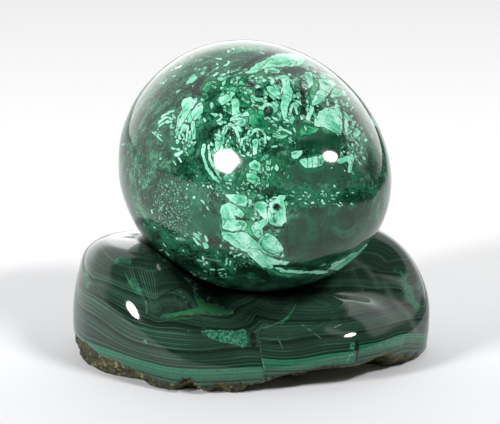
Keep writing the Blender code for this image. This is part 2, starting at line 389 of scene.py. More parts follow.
paleOutlines = {
    "crown sheet": [(728, 212), (765, 190), (800, 158), (848, 142), (868, 120), (930, 104), (1000, 108),
                    (1062, 132), (1050, 158), (985, 178), (925, 170), (875, 174), (840, 184), (790, 196),
                    (750, 216)],
    "crown branch": [(836, 198), (878, 184), (926, 192), (920, 212), (880, 220), (846, 212)],
    "ladder wedge": [(384, 366), (424, 354), (452, 368), (436, 400), (408, 440), (386, 484), (356, 528),
                     (346, 520), (366, 470), (382, 424), (378, 392)],
    "ladder oval": [(436, 424), (454, 390), (480, 374), (498, 392), (490, 430), (468, 468), (444, 476),
                    (430, 452)],
    "centre block": [(582, 350), (618, 336), (658, 318), (672, 332), (652, 354), (624, 376), (602, 390),
                     (588, 374)],
    "centre column": [(650, 366), (690, 362), (698, 388), (690, 416), (712, 436), (742, 428), (746, 448),
                      (716, 458), (700, 452), (672, 462), (662, 440), (656, 404)],
    "knuckle": [(672, 462), (700, 454), (726, 470), (728, 496), (706, 512), (680, 504), (664, 484)],
    "fork wedge": [(846, 296), (876, 288), (906, 312), (930, 326), (936, 348), (914, 354), (886, 336),
                   (858, 312)],
    "fork bar": [(904, 232), (950, 222), (972, 236), (976, 280), (990, 318), (984, 362), (966, 404),
                 (958, 446), (948, 482), (936, 448), (928, 398), (936, 360), (926, 330), (940, 296),
                 (934, 262), (912, 250)],
    "fork cap": [(876, 244), (904, 230), (898, 250), (884, 270), (880, 284), (868, 270)],
    "grainy stripe": [(1062, 206), (1100, 214), (1106, 246), (1102, 284), (1086, 304), (1074, 270),
                      (1064, 236)],
    "fan quad": [(1148, 250), (1188, 248), (1228, 272), (1216, 300), (1190, 330), (1164, 356), (1132, 384),
                 (1108, 402), (1106, 372), (1122, 340), (1142, 308), (1144, 278)],
    "fan right": [(1222, 306), (1250, 296), (1288, 322), (1292, 340), (1260, 334), (1232, 346), (1216, 352),
                  (1206, 338)],
    "fan column": [(1094, 400), (1116, 406), (1106, 442), (1086, 478), (1070, 470), (1080, 432)],
    "big fan": [(1178, 404), (1206, 410), (1232, 400), (1246, 376), (1256, 404), (1266, 452), (1272, 502),
                (1262, 546), (1238, 552), (1204, 530), (1164, 518), (1116, 504), (1120, 476), (1144, 446),
                (1164, 420)],
    "rim strip": [(1274, 420), (1296, 448), (1322, 462), (1324, 480), (1302, 482), (1304, 530), (1306, 562),
                  (1290, 548), (1284, 498), (1274, 458)],
    "rim oval": [(1340, 528), (1360, 520), (1372, 544), (1364, 578), (1346, 582), (1336, 556)],
    "rim patch": [(1430, 452), (1458, 470), (1500, 510), (1516, 544), (1480, 524), (1444, 500)],
    "arch foot": [(568, 602), (596, 594), (606, 624), (592, 652), (572, 640)],
    "arch tooth": [(776, 592), (800, 580), (798, 618), (792, 658), (770, 668), (774, 630)],
    "leaf": [(986, 660), (1014, 650), (1048, 644), (1048, 662), (1022, 690), (1000, 696), (988, 680)],
    "waist block 1": [(1036, 706), (1066, 690), (1082, 692), (1076, 740), (1052, 726)],
    "waist block 2": [(1086, 690), (1106, 688), (1106, 734), (1082, 742)],
    "waist block 3": [(1112, 684), (1136, 678), (1138, 738), (1112, 742)],
    "waist block 4": [(1142, 676), (1166, 668), (1178, 690), (1160, 732), (1144, 736)],
    "zigzag": [(1240, 702), (1272, 690), (1300, 674), (1324, 668), (1336, 690), (1330, 732), (1324, 770),
               (1308, 766), (1314, 722), (1298, 706), (1268, 726), (1246, 722)],
    "waist blob 1": [(776, 700), (802, 704), (814, 726), (802, 756), (778, 756), (750, 736), (762, 714)],
    "waist blob 2": [(738, 786), (774, 780), (800, 798), (802, 826), (780, 836), (750, 820)],
    "cascade wedge": [(620, 896), (664, 890), (706, 892), (738, 900), (746, 926), (724, 956), (690, 952),
                      (654, 930)],
    "cascade bar": [(754, 920), (768, 924), (766, 960), (750, 966)],
    "cascade lobe 1": [(584, 986), (604, 954), (642, 944), (684, 960), (712, 984), (722, 1010), (700, 1022),
                       (664, 1012), (676, 1034), (716, 1044), (736, 1064), (726, 1090), (690, 1100),
                       (640, 1094), (608, 1080), (600, 1040)],
    "cascade lobe 2": [(598, 1112), (612, 1094), (652, 1104), (704, 1106), (742, 1112), (772, 1142),
                       (802, 1172), (800, 1196), (764, 1190), (744, 1216), (700, 1196), (650, 1170),
                       (610, 1140)],
    "cascade tail": [(742, 1218), (770, 1198), (804, 1202), (834, 1226), (864, 1250), (912, 1264),
                     (974, 1272), (958, 1288), (904, 1284), (872, 1290), (902, 1310), (860, 1312),
                     (818, 1290), (776, 1256)],
    "cascade oval": [(798, 1162), (820, 1126), (852, 1114), (892, 1130), (922, 1166), (942, 1202),
                     (946, 1238), (918, 1246), (880, 1236), (848, 1220), (814, 1196)],
    "cascade stem": [(788, 936), (830, 930), (852, 946), (836, 966), (846, 1000), (862, 1028), (842, 1060),
                     (820, 1082), (828, 1110), (798, 1132), (778, 1110), (764, 1070), (792, 1046),
                     (830, 1032), (814, 1000), (790, 970)],
    "cascade ring": [(866, 936), (900, 926), (924, 904), (958, 904), (946, 936), (950, 1000), (956, 1040),
                     (930, 1070), (900, 1068), (870, 1050), (858, 1008), (854, 968)],
    "plume": [(434, 1116), (462, 1120), (494, 1140), (514, 1164), (524, 1188), (504, 1198), (474, 1178),
              (492, 1170), (480, 1150), (450, 1138)],
    "keel crescent": [(1190, 1312), (1236, 1280), (1296, 1248), (1354, 1216), (1396, 1184), (1430, 1168),
                      (1412, 1214), (1362, 1262), (1300, 1298), (1250, 1314)],
}
mintOutlines = {
    "fan patch": [(488, 302), (508, 270), (544, 254), (576, 260), (570, 282), (544, 300), (518, 318),
                  (502, 322)],
    "spot": [(652, 248), (688, 224), (712, 226), (704, 246), (676, 256)],
    "centre moss": [(690, 330), (722, 320), (752, 340), (772, 362), (764, 390), (738, 410), (708, 400),
                    (694, 370)],
    "tree": [(748, 424), (800, 410), (832, 398), (852, 430), (862, 460), (898, 490), (906, 522), (880, 546),
             (858, 556), (830, 530), (800, 536), (778, 552), (754, 536), (764, 510), (744, 480)],
    "fork side": [(978, 262), (992, 284), (988, 332), (976, 384), (966, 352), (976, 310)],
    "fan stem": [(1112, 240), (1134, 262), (1132, 310), (1116, 350), (1098, 380), (1094, 340), (1106, 290)],
    "under the fan": [(1030, 530), (1062, 498), (1112, 508), (1142, 528), (1084, 562), (1042, 562)],
    "waist ground": [(1030, 700), (1100, 676), (1164, 658), (1186, 690), (1160, 744), (1070, 752)],
    "cascade ground": [(590, 950), (700, 936), (780, 960), (776, 1040), (800, 1100), (830, 1180),
                       (790, 1230), (740, 1224), (640, 1170), (590, 1110)],
    "keel strip": [(800, 1290), (880, 1318), (960, 1326), (1060, 1340), (980, 1352), (900, 1340),
                   (830, 1314)],
    "crown haze 1": [(620, 92), (660, 70), (720, 62), (730, 84), (690, 104), (650, 104)],
    "crown haze 2": [(724, 76), (770, 60), (826, 64), (830, 80), (780, 92), (730, 98)],
}
clusterOutlines = {                # where broken pale stone crowds together
    "centre": [(600, 300), (680, 262), (760, 270), (812, 330), (836, 400), (816, 500), (744, 560),
               (690, 540), (640, 500), (600, 420), (580, 350)],
    "fan": [(1060, 200), (1180, 214), (1262, 290), (1296, 420), (1282, 566), (1120, 540), (1060, 480),
            (1084, 360)],
    "ladder": [(370, 360), (440, 340), (504, 370), (500, 470), (452, 560), (350, 590), (356, 480)],
    "arches": [(590, 500), (640, 470), (730, 480), (850, 560), (836, 640), (700, 660), (600, 640)],
    "fork": [(880, 230), (960, 214), (1060, 230), (1050, 420), (950, 520), (900, 420), (850, 320)],
    "under the crown": [(560, 230), (700, 200), (860, 210), (850, 280), (700, 290), (560, 290)],
    "fan side": [(1290, 470), (1340, 480), (1390, 560), (1380, 700), (1330, 680), (1300, 580)],
    "cascade": [(600, 890), (960, 900), (960, 1080), (860, 1130), (940, 1250), (800, 1290), (600, 1150)],
    "waist": [(760, 680), (860, 680), (850, 860), (740, 850)],
}
# The thin markings are chains of beads in the photo: across, down and half width, in pixels.
palePatches = {
    "ladder bar": [(193.5, 123, 1.6), (193.8, 137, 1.2)],
    "ladder hook": [(180.5, 133, 1), (184.5, 125.8, 1.5), (188.2, 126.4, 1.2), (187, 138, .8),
                    (184.4, 145, .7)],
    "ladder bar 2": [(190.4, 131, .9), (188.8, 142, .7)],
    "ladder dot 1": [(177, 135, 1.2)],
    "ladder dot 2": [(178, 142, 1.2)],
    "ladder dot 3": [(178, 149, 1.1)],
    "ladder foot": [(176.5, 154.6, 1.4), (182, 150.6, .9), (189, 146, .8), (195.6, 142, .6)],
    "ladder edge": [(182, 111, .6), (178, 121, .5), (176, 132, .5)],
    "fan line 1": [(157, 123, .4), (165.5, 118.4, .8), (173, 119, .4)],
    "fan line 2": [(161, 118.5, .4), (168, 113.5, .9), (174, 110.5, .4)],
    "fan line 3": [(158, 125.5, .3), (168, 122, .6), (172, 121.5, .3)],
    "feather 1": [(151.7, 131.6, .5), (157, 136, .8), (162, 141, .5)],
    "feather 2": [(155, 131, .3), (161, 134.5, .4)],
    "arc over disc": [(262, 109.5, .8), (264.5, 104.8, 1.1), (270, 104.3, 1), (274, 107.5, .6)],
    "arc under disc": [(251.5, 90, .8), (252.5, 95, 1.2), (257, 99, 1.3), (262, 99.8, 1), (265.5, 97, .7)],
    "fork oval": [(290.5, 74.5, 1.8)],
    "roof": [(289.5, 115, .6), (292.5, 105, .9), (294.5, 103.5, .8), (297, 114, .6)],
    "lace 1": [(276, 131, .8), (281, 128, 1.2), (286, 130, .8), (291, 133, .5)],
    "lace 2": [(274, 136, .6), (281, 138, 1), (287, 134.5, .7)],
    "arch ring": [(222.5, 142, 1.4), (223.5, 134, 1.6), (227, 127.6, 1.8), (231, 125, 1.8), (235, 128, 1.6),
                  (237.6, 134, 1.2), (238.8, 142, .8)],
    "arch 2": [(240.5, 145, .8), (242.5, 139, 1.1), (247, 136, 1.1), (250.5, 137.2, .8)],
    "arch 3": [(250.5, 136.6, .8), (253.4, 131.8, 1.1), (258.5, 129.3, 1.3), (263, 131, 1), (265, 136, .8),
               (265, 143, .6)],
    "loop outside": [(204, 145, .9), (202.8, 155, 1.2), (206, 167, 1.2), (213.5, 176.5, 1),
                     (220.6, 181.6, .7)],
    "loop inside": [(207.8, 146, 1), (209.6, 157, .9), (214.5, 169, .7), (221, 181, .6)],
    "rim dash": [(353.4, 123, 1.6)],
    "rim dash 2": [(351, 116, 1)],
    "lone line": [(201.5, 200.7, .6), (208, 210, .6)],
    "lone dot": [(195, 198, 1.3)],
    "plume hair 1": [(193.5, 233, .4), (199, 235.5, .9), (204, 242, 1.2)],
    "plume hair 2": [(192, 238.5, .4), (198, 243.5, .9), (203.5, 246.5, 1)],
    "plume hair 3": [(205.5, 236, .4), (206.5, 242, .8)],
    "star 1": [(199.5, 259.5, .5), (207, 262.5, .6)],
    "star 2": [(202.5, 256, .4), (204.5, 264, .6)],
    "keel line": [(274, 268.5, .8), (296, 272, 1.1), (312, 272.6, 1), (327, 271.6, .9)],
    "keel rim": [(375.7, 239, .6), (382, 229, .5)],
}
mintPatches = {
    "stroke": [(264.5, 78.6, .8), (263, 84, .9), (261.4, 90, .7)],
    "ring": [(296, 83, .9), (298, 81.6, .9), (300.4, 84, .9), (299, 87, .9), (296.4, 86, .9)],
    "fan bit": [(330, 99.8, 2.8), (334.4, 98.6, 2.8)],
    "rim streak": [(371, 146, 1.4), (373, 152, 1.8), (374, 158, .9)],
    "wave 1": [(263, 161, .6), (265, 170, .8), (263, 180, .5)],
    "wave 2": [(268, 160, .6), (270.6, 170, .8), (269, 182, .5)],
    "wave 3": [(274, 162, .9), (275.6, 168, .9)],
    "eye 1": [(284, 161, .7), (281, 170, .6)],
    "right lens": [(334, 230, .3), (342, 235, .45), (351, 233, .45), (360, 225, .4), (368, 216, .3)],
    "lens top": [(322, 200, .3), (334, 193.5, .4), (346, 190, .4), (357, 188, .4), (373, 191, .3)],
    "left spot": [(176, 113.6, 1.2)],
}
darkStrokes = {
    "vein foot": [(195, 92.6, 3.2), (198.6, 85, 2.8), (204.6, 75.6, 2), (211, 69, 1.2)],
    "vein": [(227, 75.6, 1.2), (235, 72.6, 1.4), (242, 69.6, 1.6), (250, 63, 2.2), (258, 57.6, 1.8),
             (268, 54, 1.4), (283, 51.8, 1)],
    "under crown": [(284, 69.4, 1.8), (293, 70.6, 3.2), (303, 69, 2.2)],
    "disc": [(269, 112, 5.2)],
    "disc 2": [(260, 93, 4.6)],
    "fork hole": [(278.4, 81.6, 2.8)],
    "notch": [(236, 219.2, 1.2), (244, 219.6, 1.6), (250, 220, .8)],
    "crack": [(224, 230.6, .5), (233, 231.6, .8), (241.7, 230.5, .8)],
    "jaw": [(264, 228.2, 1.2), (272, 227.4, 2.4), (284, 226.6, .8)],
    "fan crack": [(333.6, 90, .7), (324.6, 100.6, .9), (318, 109, .9), (313, 117, .6)],
    "fan gap": [(339.8, 101, .8), (342.6, 110.7, 1), (343.6, 120, 1), (343.4, 131, .9)],
    "waist pit": [(283, 173, 1.2)],
    "waist speck 1": [(320, 176, .7)],
    "waist speck 2": [(338.7, 181.7, .7)],
    "oval side": [(285.6, 240, .5), (284.6, 250, .8), (279, 257.4, .8), (268, 252.6, .6), (260.6, 243, .6)],
    "column side": [(300, 82, 1.4), (303, 92, 2.4), (304, 104, 2.6), (302, 114, 2)],
}
brownStrokes = {
    "lens": [(250, 125.5, 4.2)],
    "curve 1": [(277, 147, .9), (282, 144, 1), (290, 145, .8)],
    "curve 2": [(279, 152, .8), (284, 149, .9), (291, 150, .7)],
    "curve 3": [(281, 158, .9), (280, 152, .9)],
    "fan shadow": [(301, 126, 2.4), (309, 125, 3.4), (316, 127, 1.8)],
    "vein edge": [(205, 66, 1), (222, 60, 1.4), (238, 58, 1)],
    "low brown 1": [(318, 222, 1), (321, 234, 1.4), (319, 248, 1.2)],
    "low brown 2": [(288, 228, 1), (286, 240, 1), (290, 252, 1)],
    "waist brown": [(262, 163, .8), (261, 176, .8)],
}


# Loose crumbs of the same colours: the middle of each drift and its half size in the photo, how many
# crumbs it holds, their least and most half width, what their half length has over that at least and
# at most, all in pixels, and the way they run in degrees.
crumbDrifts = {
    "below the plume": (229, 255, 17, 13, 26, .5, 1.1, 1, 3, -35),
    "left of the cascade": (200, 190, 26, 16, 34, .3, .7, 0, 1.5, 60),
    "left foot": (170, 238, 22, 20, 34, .25, .5, .5, 3, 55),
    "waist": (320, 198, 32, 9, 60, .3, .8, 0, 1.6, 20),
    "below the arches": (238, 186, 20, 8, 28, .3, .9, 0, 2, 10),
    "right of the fan": (357, 146, 11, 26, 56, .4, 1.6, 0, 2, 70),
    "fan column": (302, 92, 9, 26, 56, .6, 2, 0, 3, 75),
    "fan right": (340, 100, 12, 22, 40, .6, 2, 0, 3, 70),
    "under the crown": (252, 80, 26, 9, 50, .6, 2.2, 0, 3, -20),
    "under the crown, left": (222, 78, 18, 12, 26, .4, 1.6, 0, 4, -35),
    "ladder": (184, 136, 9, 18, 36, .6, 1.6, 0, 4, 75),
    "centre": (280, 126, 20, 16, 46, .5, 2, 0, 3, 25),
    "centre left": (226, 114, 14, 22, 46, .6, 2.4, 0, 3, 65),
    "centre middle": (252, 106, 16, 16, 40, .6, 2.6, 0, 3, 50),
    "arches": (236, 146, 22, 14, 36, .5, 1.8, 0, 3, 80),
    "waist middle": (262, 172, 20, 14, 40, .4, 1.6, 0, 3, 80),
    "cascade side": (262, 214, 16, 18, 30, .5, 1.8, 0, 2.4, 40),
    "upper left": (190, 70, 38, 20, 12, .3, .8, 1, 5, -35),
    "crown": (250, 52, 46, 7, 12, .4, 1, 1, 6, -4),
    "left": (160, 160, 26, 50, 16, .3, .6, 0, 3, 70),
    "low right": (342, 152, 20, 26, 20, .3, .6, 0, 1, 0),
    "keel": (215, 274, 34, 8, 40, .3, .7, 0, 3, 15),
}
# Where the ground between the markings is speckled, laced or smooth: ellipses in the photo.
eggGround = {
    "specks": [(173, 207, 22, 34, .9), (186, 248, 34, 20, .5), (205, 190, 30, 16, .6),
               (238, 262, 22, 7, .6), (318, 200, 30, 9, .6), (245, 188, 26, 9, .7), (352, 150, 16, 22, .5),
               (300, 80, 8, 24, .5)],
    # paintedShade: painted shade, the lower part of the egg darkened where the stand shades it
    "paintedShade": [(186, 262, 60, 24, 1), (240, 284, 80, 20, 1), (158, 244, 26, 16, .8), (300, 284, 60, 10, .9)],
    "lace": [(262, 92, 42, 26, .9), (304, 92, 18, 32, 1), (336, 80, 26, 16, .6), (282, 130, 30, 18, .9),
             (184, 128, 16, 32, .8), (350, 145, 18, 26, .8), (215, 82, 30, 18, .6), (240, 150, 40, 16, .7),
             (232, 182, 34, 12, .6), (262, 172, 20, 16, .6), (258, 212, 18, 16, .6), (190, 75, 40, 25, .5)],
    "calm": [(322, 174, 50, 11, 1), (336, 222, 46, 34, 1), (305, 238, 32, 26, 1), (320, 140, 26, 10, .8),
             (203, 224, 20, 14, .8), (190, 206, 9, 12, .9), (330, 258, 40, 12, .8)],
    "teal": [(190, 207, 8, 10, 1), (203, 224, 19, 12, .5), (254, 158, 15, 4, .8), (226, 48, 40, 9, .5)],
    "haze": [(322, 178, 54, 18, 1), (310, 130, 26, 12, 1), (362, 256, 16, 14, 1), (245, 190, 30, 12, .8)],
    "deep": [(262, 98, 46, 34, .55), (225, 130, 24, 26, .5), (340, 100, 32, 42, .5), (185, 125, 16, 34, .4),
             (268, 160, 24, 20, .6), (256, 215, 36, 36, .5), (222, 258, 44, 22, 1), (170, 250, 30, 20, .8),
             (350, 150, 26, 30, .9), (206, 82, 16, 22, .7), (300, 268, 60, 10, .8)],
    "streaks": [(165, 90, 60, 60, 1), (150, 150, 34, 60, 1), (225, 55, 70, 18, 1), (374, 160, 18, 60, .9),
                (165, 240, 34, 30, .8)],
}
eggPits = (                        # open vugs: across, down, radius in pixels and depth in mm
    (250, 84.6, 6, .7), (276.6, 207.4, 5.4, 1.0), (278.4, 81.4, 3.6, .7), (232, 134.5, 3.6, .6),
    (226.6, 163, .8, .3), (283, 173, 1.1, .3), (260, 234, 1.4, .4), (331.6, 105, 2, .4), (269, 111.6, 3, .3),
    (245, 219.4, 2, .3), (261.4, 142, 2.6, .35),
)
# How close the crumbs gather, how many degrees they turn, and how uneven their outlines are.
crumbShape = {"seed": 5, "gather": .55, "turns": 28, "corners": 6, "out": (.6, 1.2)}
# The marks out of the photo's sight, in mm on an egg of this mean radius.
hiddenEgg = {"seed": 7, "swarms": 15, "marks": 17, "radius": 35, "spread": 8.5, "drift": .22, "turns": .45,
             "bend": (-.6, .6), "half": (.35, 1.7), "long": (.5, 4.5)}
cosine, sine = math.cos(eggShape["heading"]), math.sin(eggShape["heading"])
eggAxes = np.array([[cosine, sine, 0], [-sine, cosine, 0], [0, 0, 1]])      # along the egg, across it and up


def eggSkin(ways):                 # the point of the egg's skin that lies each way
    along = ways[:, :1]
    girth = eggShape["width"] / 2 * (1 - eggShape["taper"] * along)
    return np.hstack([along * eggShape["length"] / 2, ways[:, 1:] * girth])


def eggToWorld(points):
    return points @ eggAxes + np.array(eggShape["centre"])


def crowded(ways, pole, share):    # draws points of a sphere evenly together round a pole
    toward = ways @ pole
    aside = ways - toward[:, None] * pole
    spread = share / (1 + toward)
    out = (aside**2).sum(1) * spread**2
    return aside * (2 * spread / (1 + out))[:, None] + pole * ((1 - out) / (1 + out))[:, None]


def placeEgg(cube):
    ways = np.tan(cube * math.pi / 4)
    ways /= np.linalg.norm(ways, axis=1)[:, None]
    skin = eggSkin(crowded(ways, eggAxes @ -np.array(forward), eggShape["crowding"]))
    ripple = waves(skin, 14 * mm, 5 * mm, 9, 3) * eggShape["ripple"]
    return eggToWorld(skin * (1 + ripple / (eggShape["width"] / 2))[:, None])


def crumbs():                      # uneven many-cornered outlines, as on the tracing
    shape = crumbShape
    chance = np.random.default_rng(shape["seed"])
    made = []
    for x, y, wide, tall, count, thin, thick, short, long, lie in crumbDrifts.values():
        for _ in range(count):
            spot = np.array([x, y]) + chance.normal(size=2) * np.array([wide, tall]) * shape["gather"]
            turn = math.radians(lie + chance.normal() * shape["turns"])
            half = chance.uniform(thin, thick)
            halfLong = half + chance.uniform(short, long)
            around = np.sort(chance.uniform(0, 2 * math.pi, shape["corners"]))
            out = chance.uniform(*shape["out"], shape["corners"])
            along, aside = halfLong * np.cos(around) * out, half * np.sin(around) * out
            c, s = math.cos(turn), math.sin(turn)
            corners = np.stack([along * c - aside * s, along * s + aside * c], 1) + spot
            made.append((corners - tracing["corner"]) * tracing["scale"])
    return made


def hiddenMarks():                 # swarms of patches round the sides that the photo doesn't show, in mm
    shape = hiddenEgg
    chance = np.random.default_rng(shape["seed"])
    made = []
    while len(made) < shape["swarms"] * shape["marks"]:
        hub = chance.normal(size=3)
        hub /= np.linalg.norm(hub)
        drift = np.cross(hub, chance.normal(size=3))
        drift /= np.linalg.norm(drift)
        for _ in range(shape["marks"]):
            spot = hub + chance.normal(size=3) * shape["spread"] / shape["radius"]
            spot = spot + drift * chance.normal() * shape["drift"]
            half = chance.uniform(*shape["half"]) * chance.uniform(.4, 1)
            run = drift + chance.normal(size=3) * shape["turns"]
            run = run * chance.uniform(*shape["long"]) / shape["radius"]
            bend = np.cross(run, hub) * chance.uniform(*shape["bend"])
            ways = np.array([spot - run, spot + bend, spot + run])
            ways /= np.linalg.norm(ways, axis=1)[:, None]
            skin = eggToWorld(eggSkin(ways)) / mm
            made.append([(*place, half * size) for place, size in zip(skin, (.5, 1, .45))])
    return made


def groundAt(spots, ellipses):     # how far within any of the ellipses, 0 to 1
    level = np.zeros(len(spots))
    for x, y, wide, tall, strength in ellipses:
        out = np.hypot((spots[:, 0] - x) / wide, (spots[:, 1] - y) / tall)
        level = np.maximum(level, strength * (1 - smoothStep(.6, 1.15, out)))
    return level


def makeEgg():
    piece = addPiece("malachite_egg", cubeGrid([eggShape["cells"]] * 3), placeEgg)
    points = read(piece, "co")
    outward = read(piece, "normal")
    toCamera = np.array(cameraAt) - points
    toCamera /= np.linalg.norm(toCamera, axis=1)[:, None]
    facing = (toCamera * outward).sum(1)
    inFront = smoothStep(.01, .12, facing)
    seen = facing > 0
    spots = inPhoto(points)[seen]
    perPixel = (view["distance"] - .4 * eggShape["width"]) / focal / mm     # in mm, on the egg's front
    hidden = np.array(hiddenMarks(), dtype=object)

    def layered(frontMarks, backMarks):    # how far, in mm, each point lies outside the nearest mark
        far = 4.0
        first = np.full(len(points), far)
        gap = np.full(len(points), far)
        front, frontGap = marksDistance(spots, frontMarks)
        first[seen] = np.minimum(front * perPixel + (1 - inFront[seen]) * far, far)
        gap[seen] = np.minimum(frontGap * perPixel, far)
        behind = facing < .12
        back, backGap = marksDistance(points[behind] / mm, backMarks)
        back = back + inFront[behind] * far
        nearer = back < first[behind]
        first[behind] = np.where(nearer, back, first[behind])
        gap[behind] = np.where(nearer, backGap, gap[behind])
        return first, gap

    loose = crumbs()
    waver = np.stack([waves(points[seen], 6 * mm, 1 * mm, 14, seed) for seed in (61, 62)], 1)
    spots = spots + waver * .7     # uneven edges, in pixels
    pale, seam = layered([*paleOutlines.values(), *palePatches.values(), *loose[::2]], hidden[::2])
    mint, _ = layered([*mintOutlines.values(), *mintPatches.values(), *loose[1::2]], hidden[1::2])
    dark, _ = layered(darkStrokes.values(), hidden[5::23])
    brown, _ = layered(brownStrokes.values(), hidden[3::29])
    cluster, _ = layered(clusterOutlines.values(), hidden[::2])
    marks = {"pale": pale, "seam": seam, "mint": mint, "dark": dark, "brown": brown,
             "cluster": smoothStep(1, -.2, cluster)}
    for name, values in marks.items():
        paint(piece, name, values)
    # the ground is painted by the photo in front, and in random patches out of its sight
    for seed, (name, ellipses) in enumerate(eggGround.items(), 40):
        level = waves(points, 34 * mm, 8 * mm, 12, seed) * .8 + .25
        level = np.clip(level, 0, 1) * (1 - inFront)
        level[seen] += groundAt(spots, ellipses) * inFront[seen]
        paint(piece, name, level)
    depth = np.zeros(len(points))
    for x, y, radius, deep in eggPits:
        out = np.hypot(spots[:, 0] - x, (spots[:, 1] - y) * 1.3) / radius
        depth[seen] = np.maximum(depth[seen], deep * (1 - smoothStep(.35, 1, out)))
    paint(piece, "vug", smoothStep(.05, .3, depth))
    movePoints(piece, points - outward * depth[:, None] * mm)
    piece.data.shade_smooth()
    piece.data.materials.append(eggMaterial())
    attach(piece, "root")
    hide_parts("egg")
    print("egg:", len(piece.data.polygons), "faces,", len(paleOutlines) + len(palePatches), "pale patches")


# Stops are places on a ramp with their screen colours.
eggLook = {
    "grains": {                    # how many to a metre, then detail, roughness and distortion
        "fine": (1500, 3, .6), "wander": (620, 3, .6), "ragged": (900, 4, .65), "mottle": (150, 8, .7, .5),
        "streaks": (420, 7, .72, .3), "swirl": (190, 3, .5, 1.2), "broken": (520, 2),
        "calm": (130, 5, .6, .8), "dots": (1900, 2, .6), "fill": (230, 5, .62, .6), "sparkle": (2400, 1),
        "polish": (260, 2),
    },
    "crumple": 1.3 * mm,           # how far the wander shifts the patterns
    "chipSizes": ((900, .8, .1), (400, .95, .06)),              # to a metre, how rare, and the seam's width
    "laceLines": 22,
    "veinSize": 250,               # grains to a metre, with veins between them
    "ground": ((.36, 10, 36, 26), (.47, 21, 66, 47), (.54, 40, 94, 68), (.66, 90, 150, 118)),
    "deep": ((.38, 8, 22, 17), (.5, 16, 46, 33), (.58, 36, 90, 64), (.7, 92, 158, 124)),
    "chips": ((.1, 10, 30, 22), (.34, 20, 66, 46), (.5, 46, 120, 84), (.62, 80, 172, 128),
              (.76, 140, 226, 188)),
    "calm": ((.38, 14, 50, 34), (.5, 18, 66, 46), (.62, 26, 90, 56)),
    "washes": {"teal": (shade(34, 116, 84), .7), "haze": (shade(92, 124, 108), .25)},
    "speck": shade(136, 204, 172),
    "lace": shade(104, 186, 148),
    "mint": ((.34, 22, 84, 54), (.47, 48, 136, 92), (.6, 82, 176, 128), (.7, 120, 206, 162)),
    "pale": ((.34, 66, 164, 118), (.44, 116, 210, 168), (.52, 150, 230, 196), (.64, 194, 247, 225)),
    "rim": shade(186, 244, 218),
    "halo": shade(52, 120, 88),
    "veins": shade(24, 84, 58),
    "outline": shade(12, 38, 28),
    "dark": shade(14, 32, 25),
    "brown": shade(28, 44, 24),
    "depth": {"Saturation": 1.06, "Value": .92},
    "vug": shade(20, 34, 28),
    "streakTurn": (0, math.radians(40), 0),
    "streakShape": (.35, 1, 1),
    "gloss": .06,
    "bump": {"Strength": .12, "Distance": .04 * mm},
    "ior": 1.52,
}


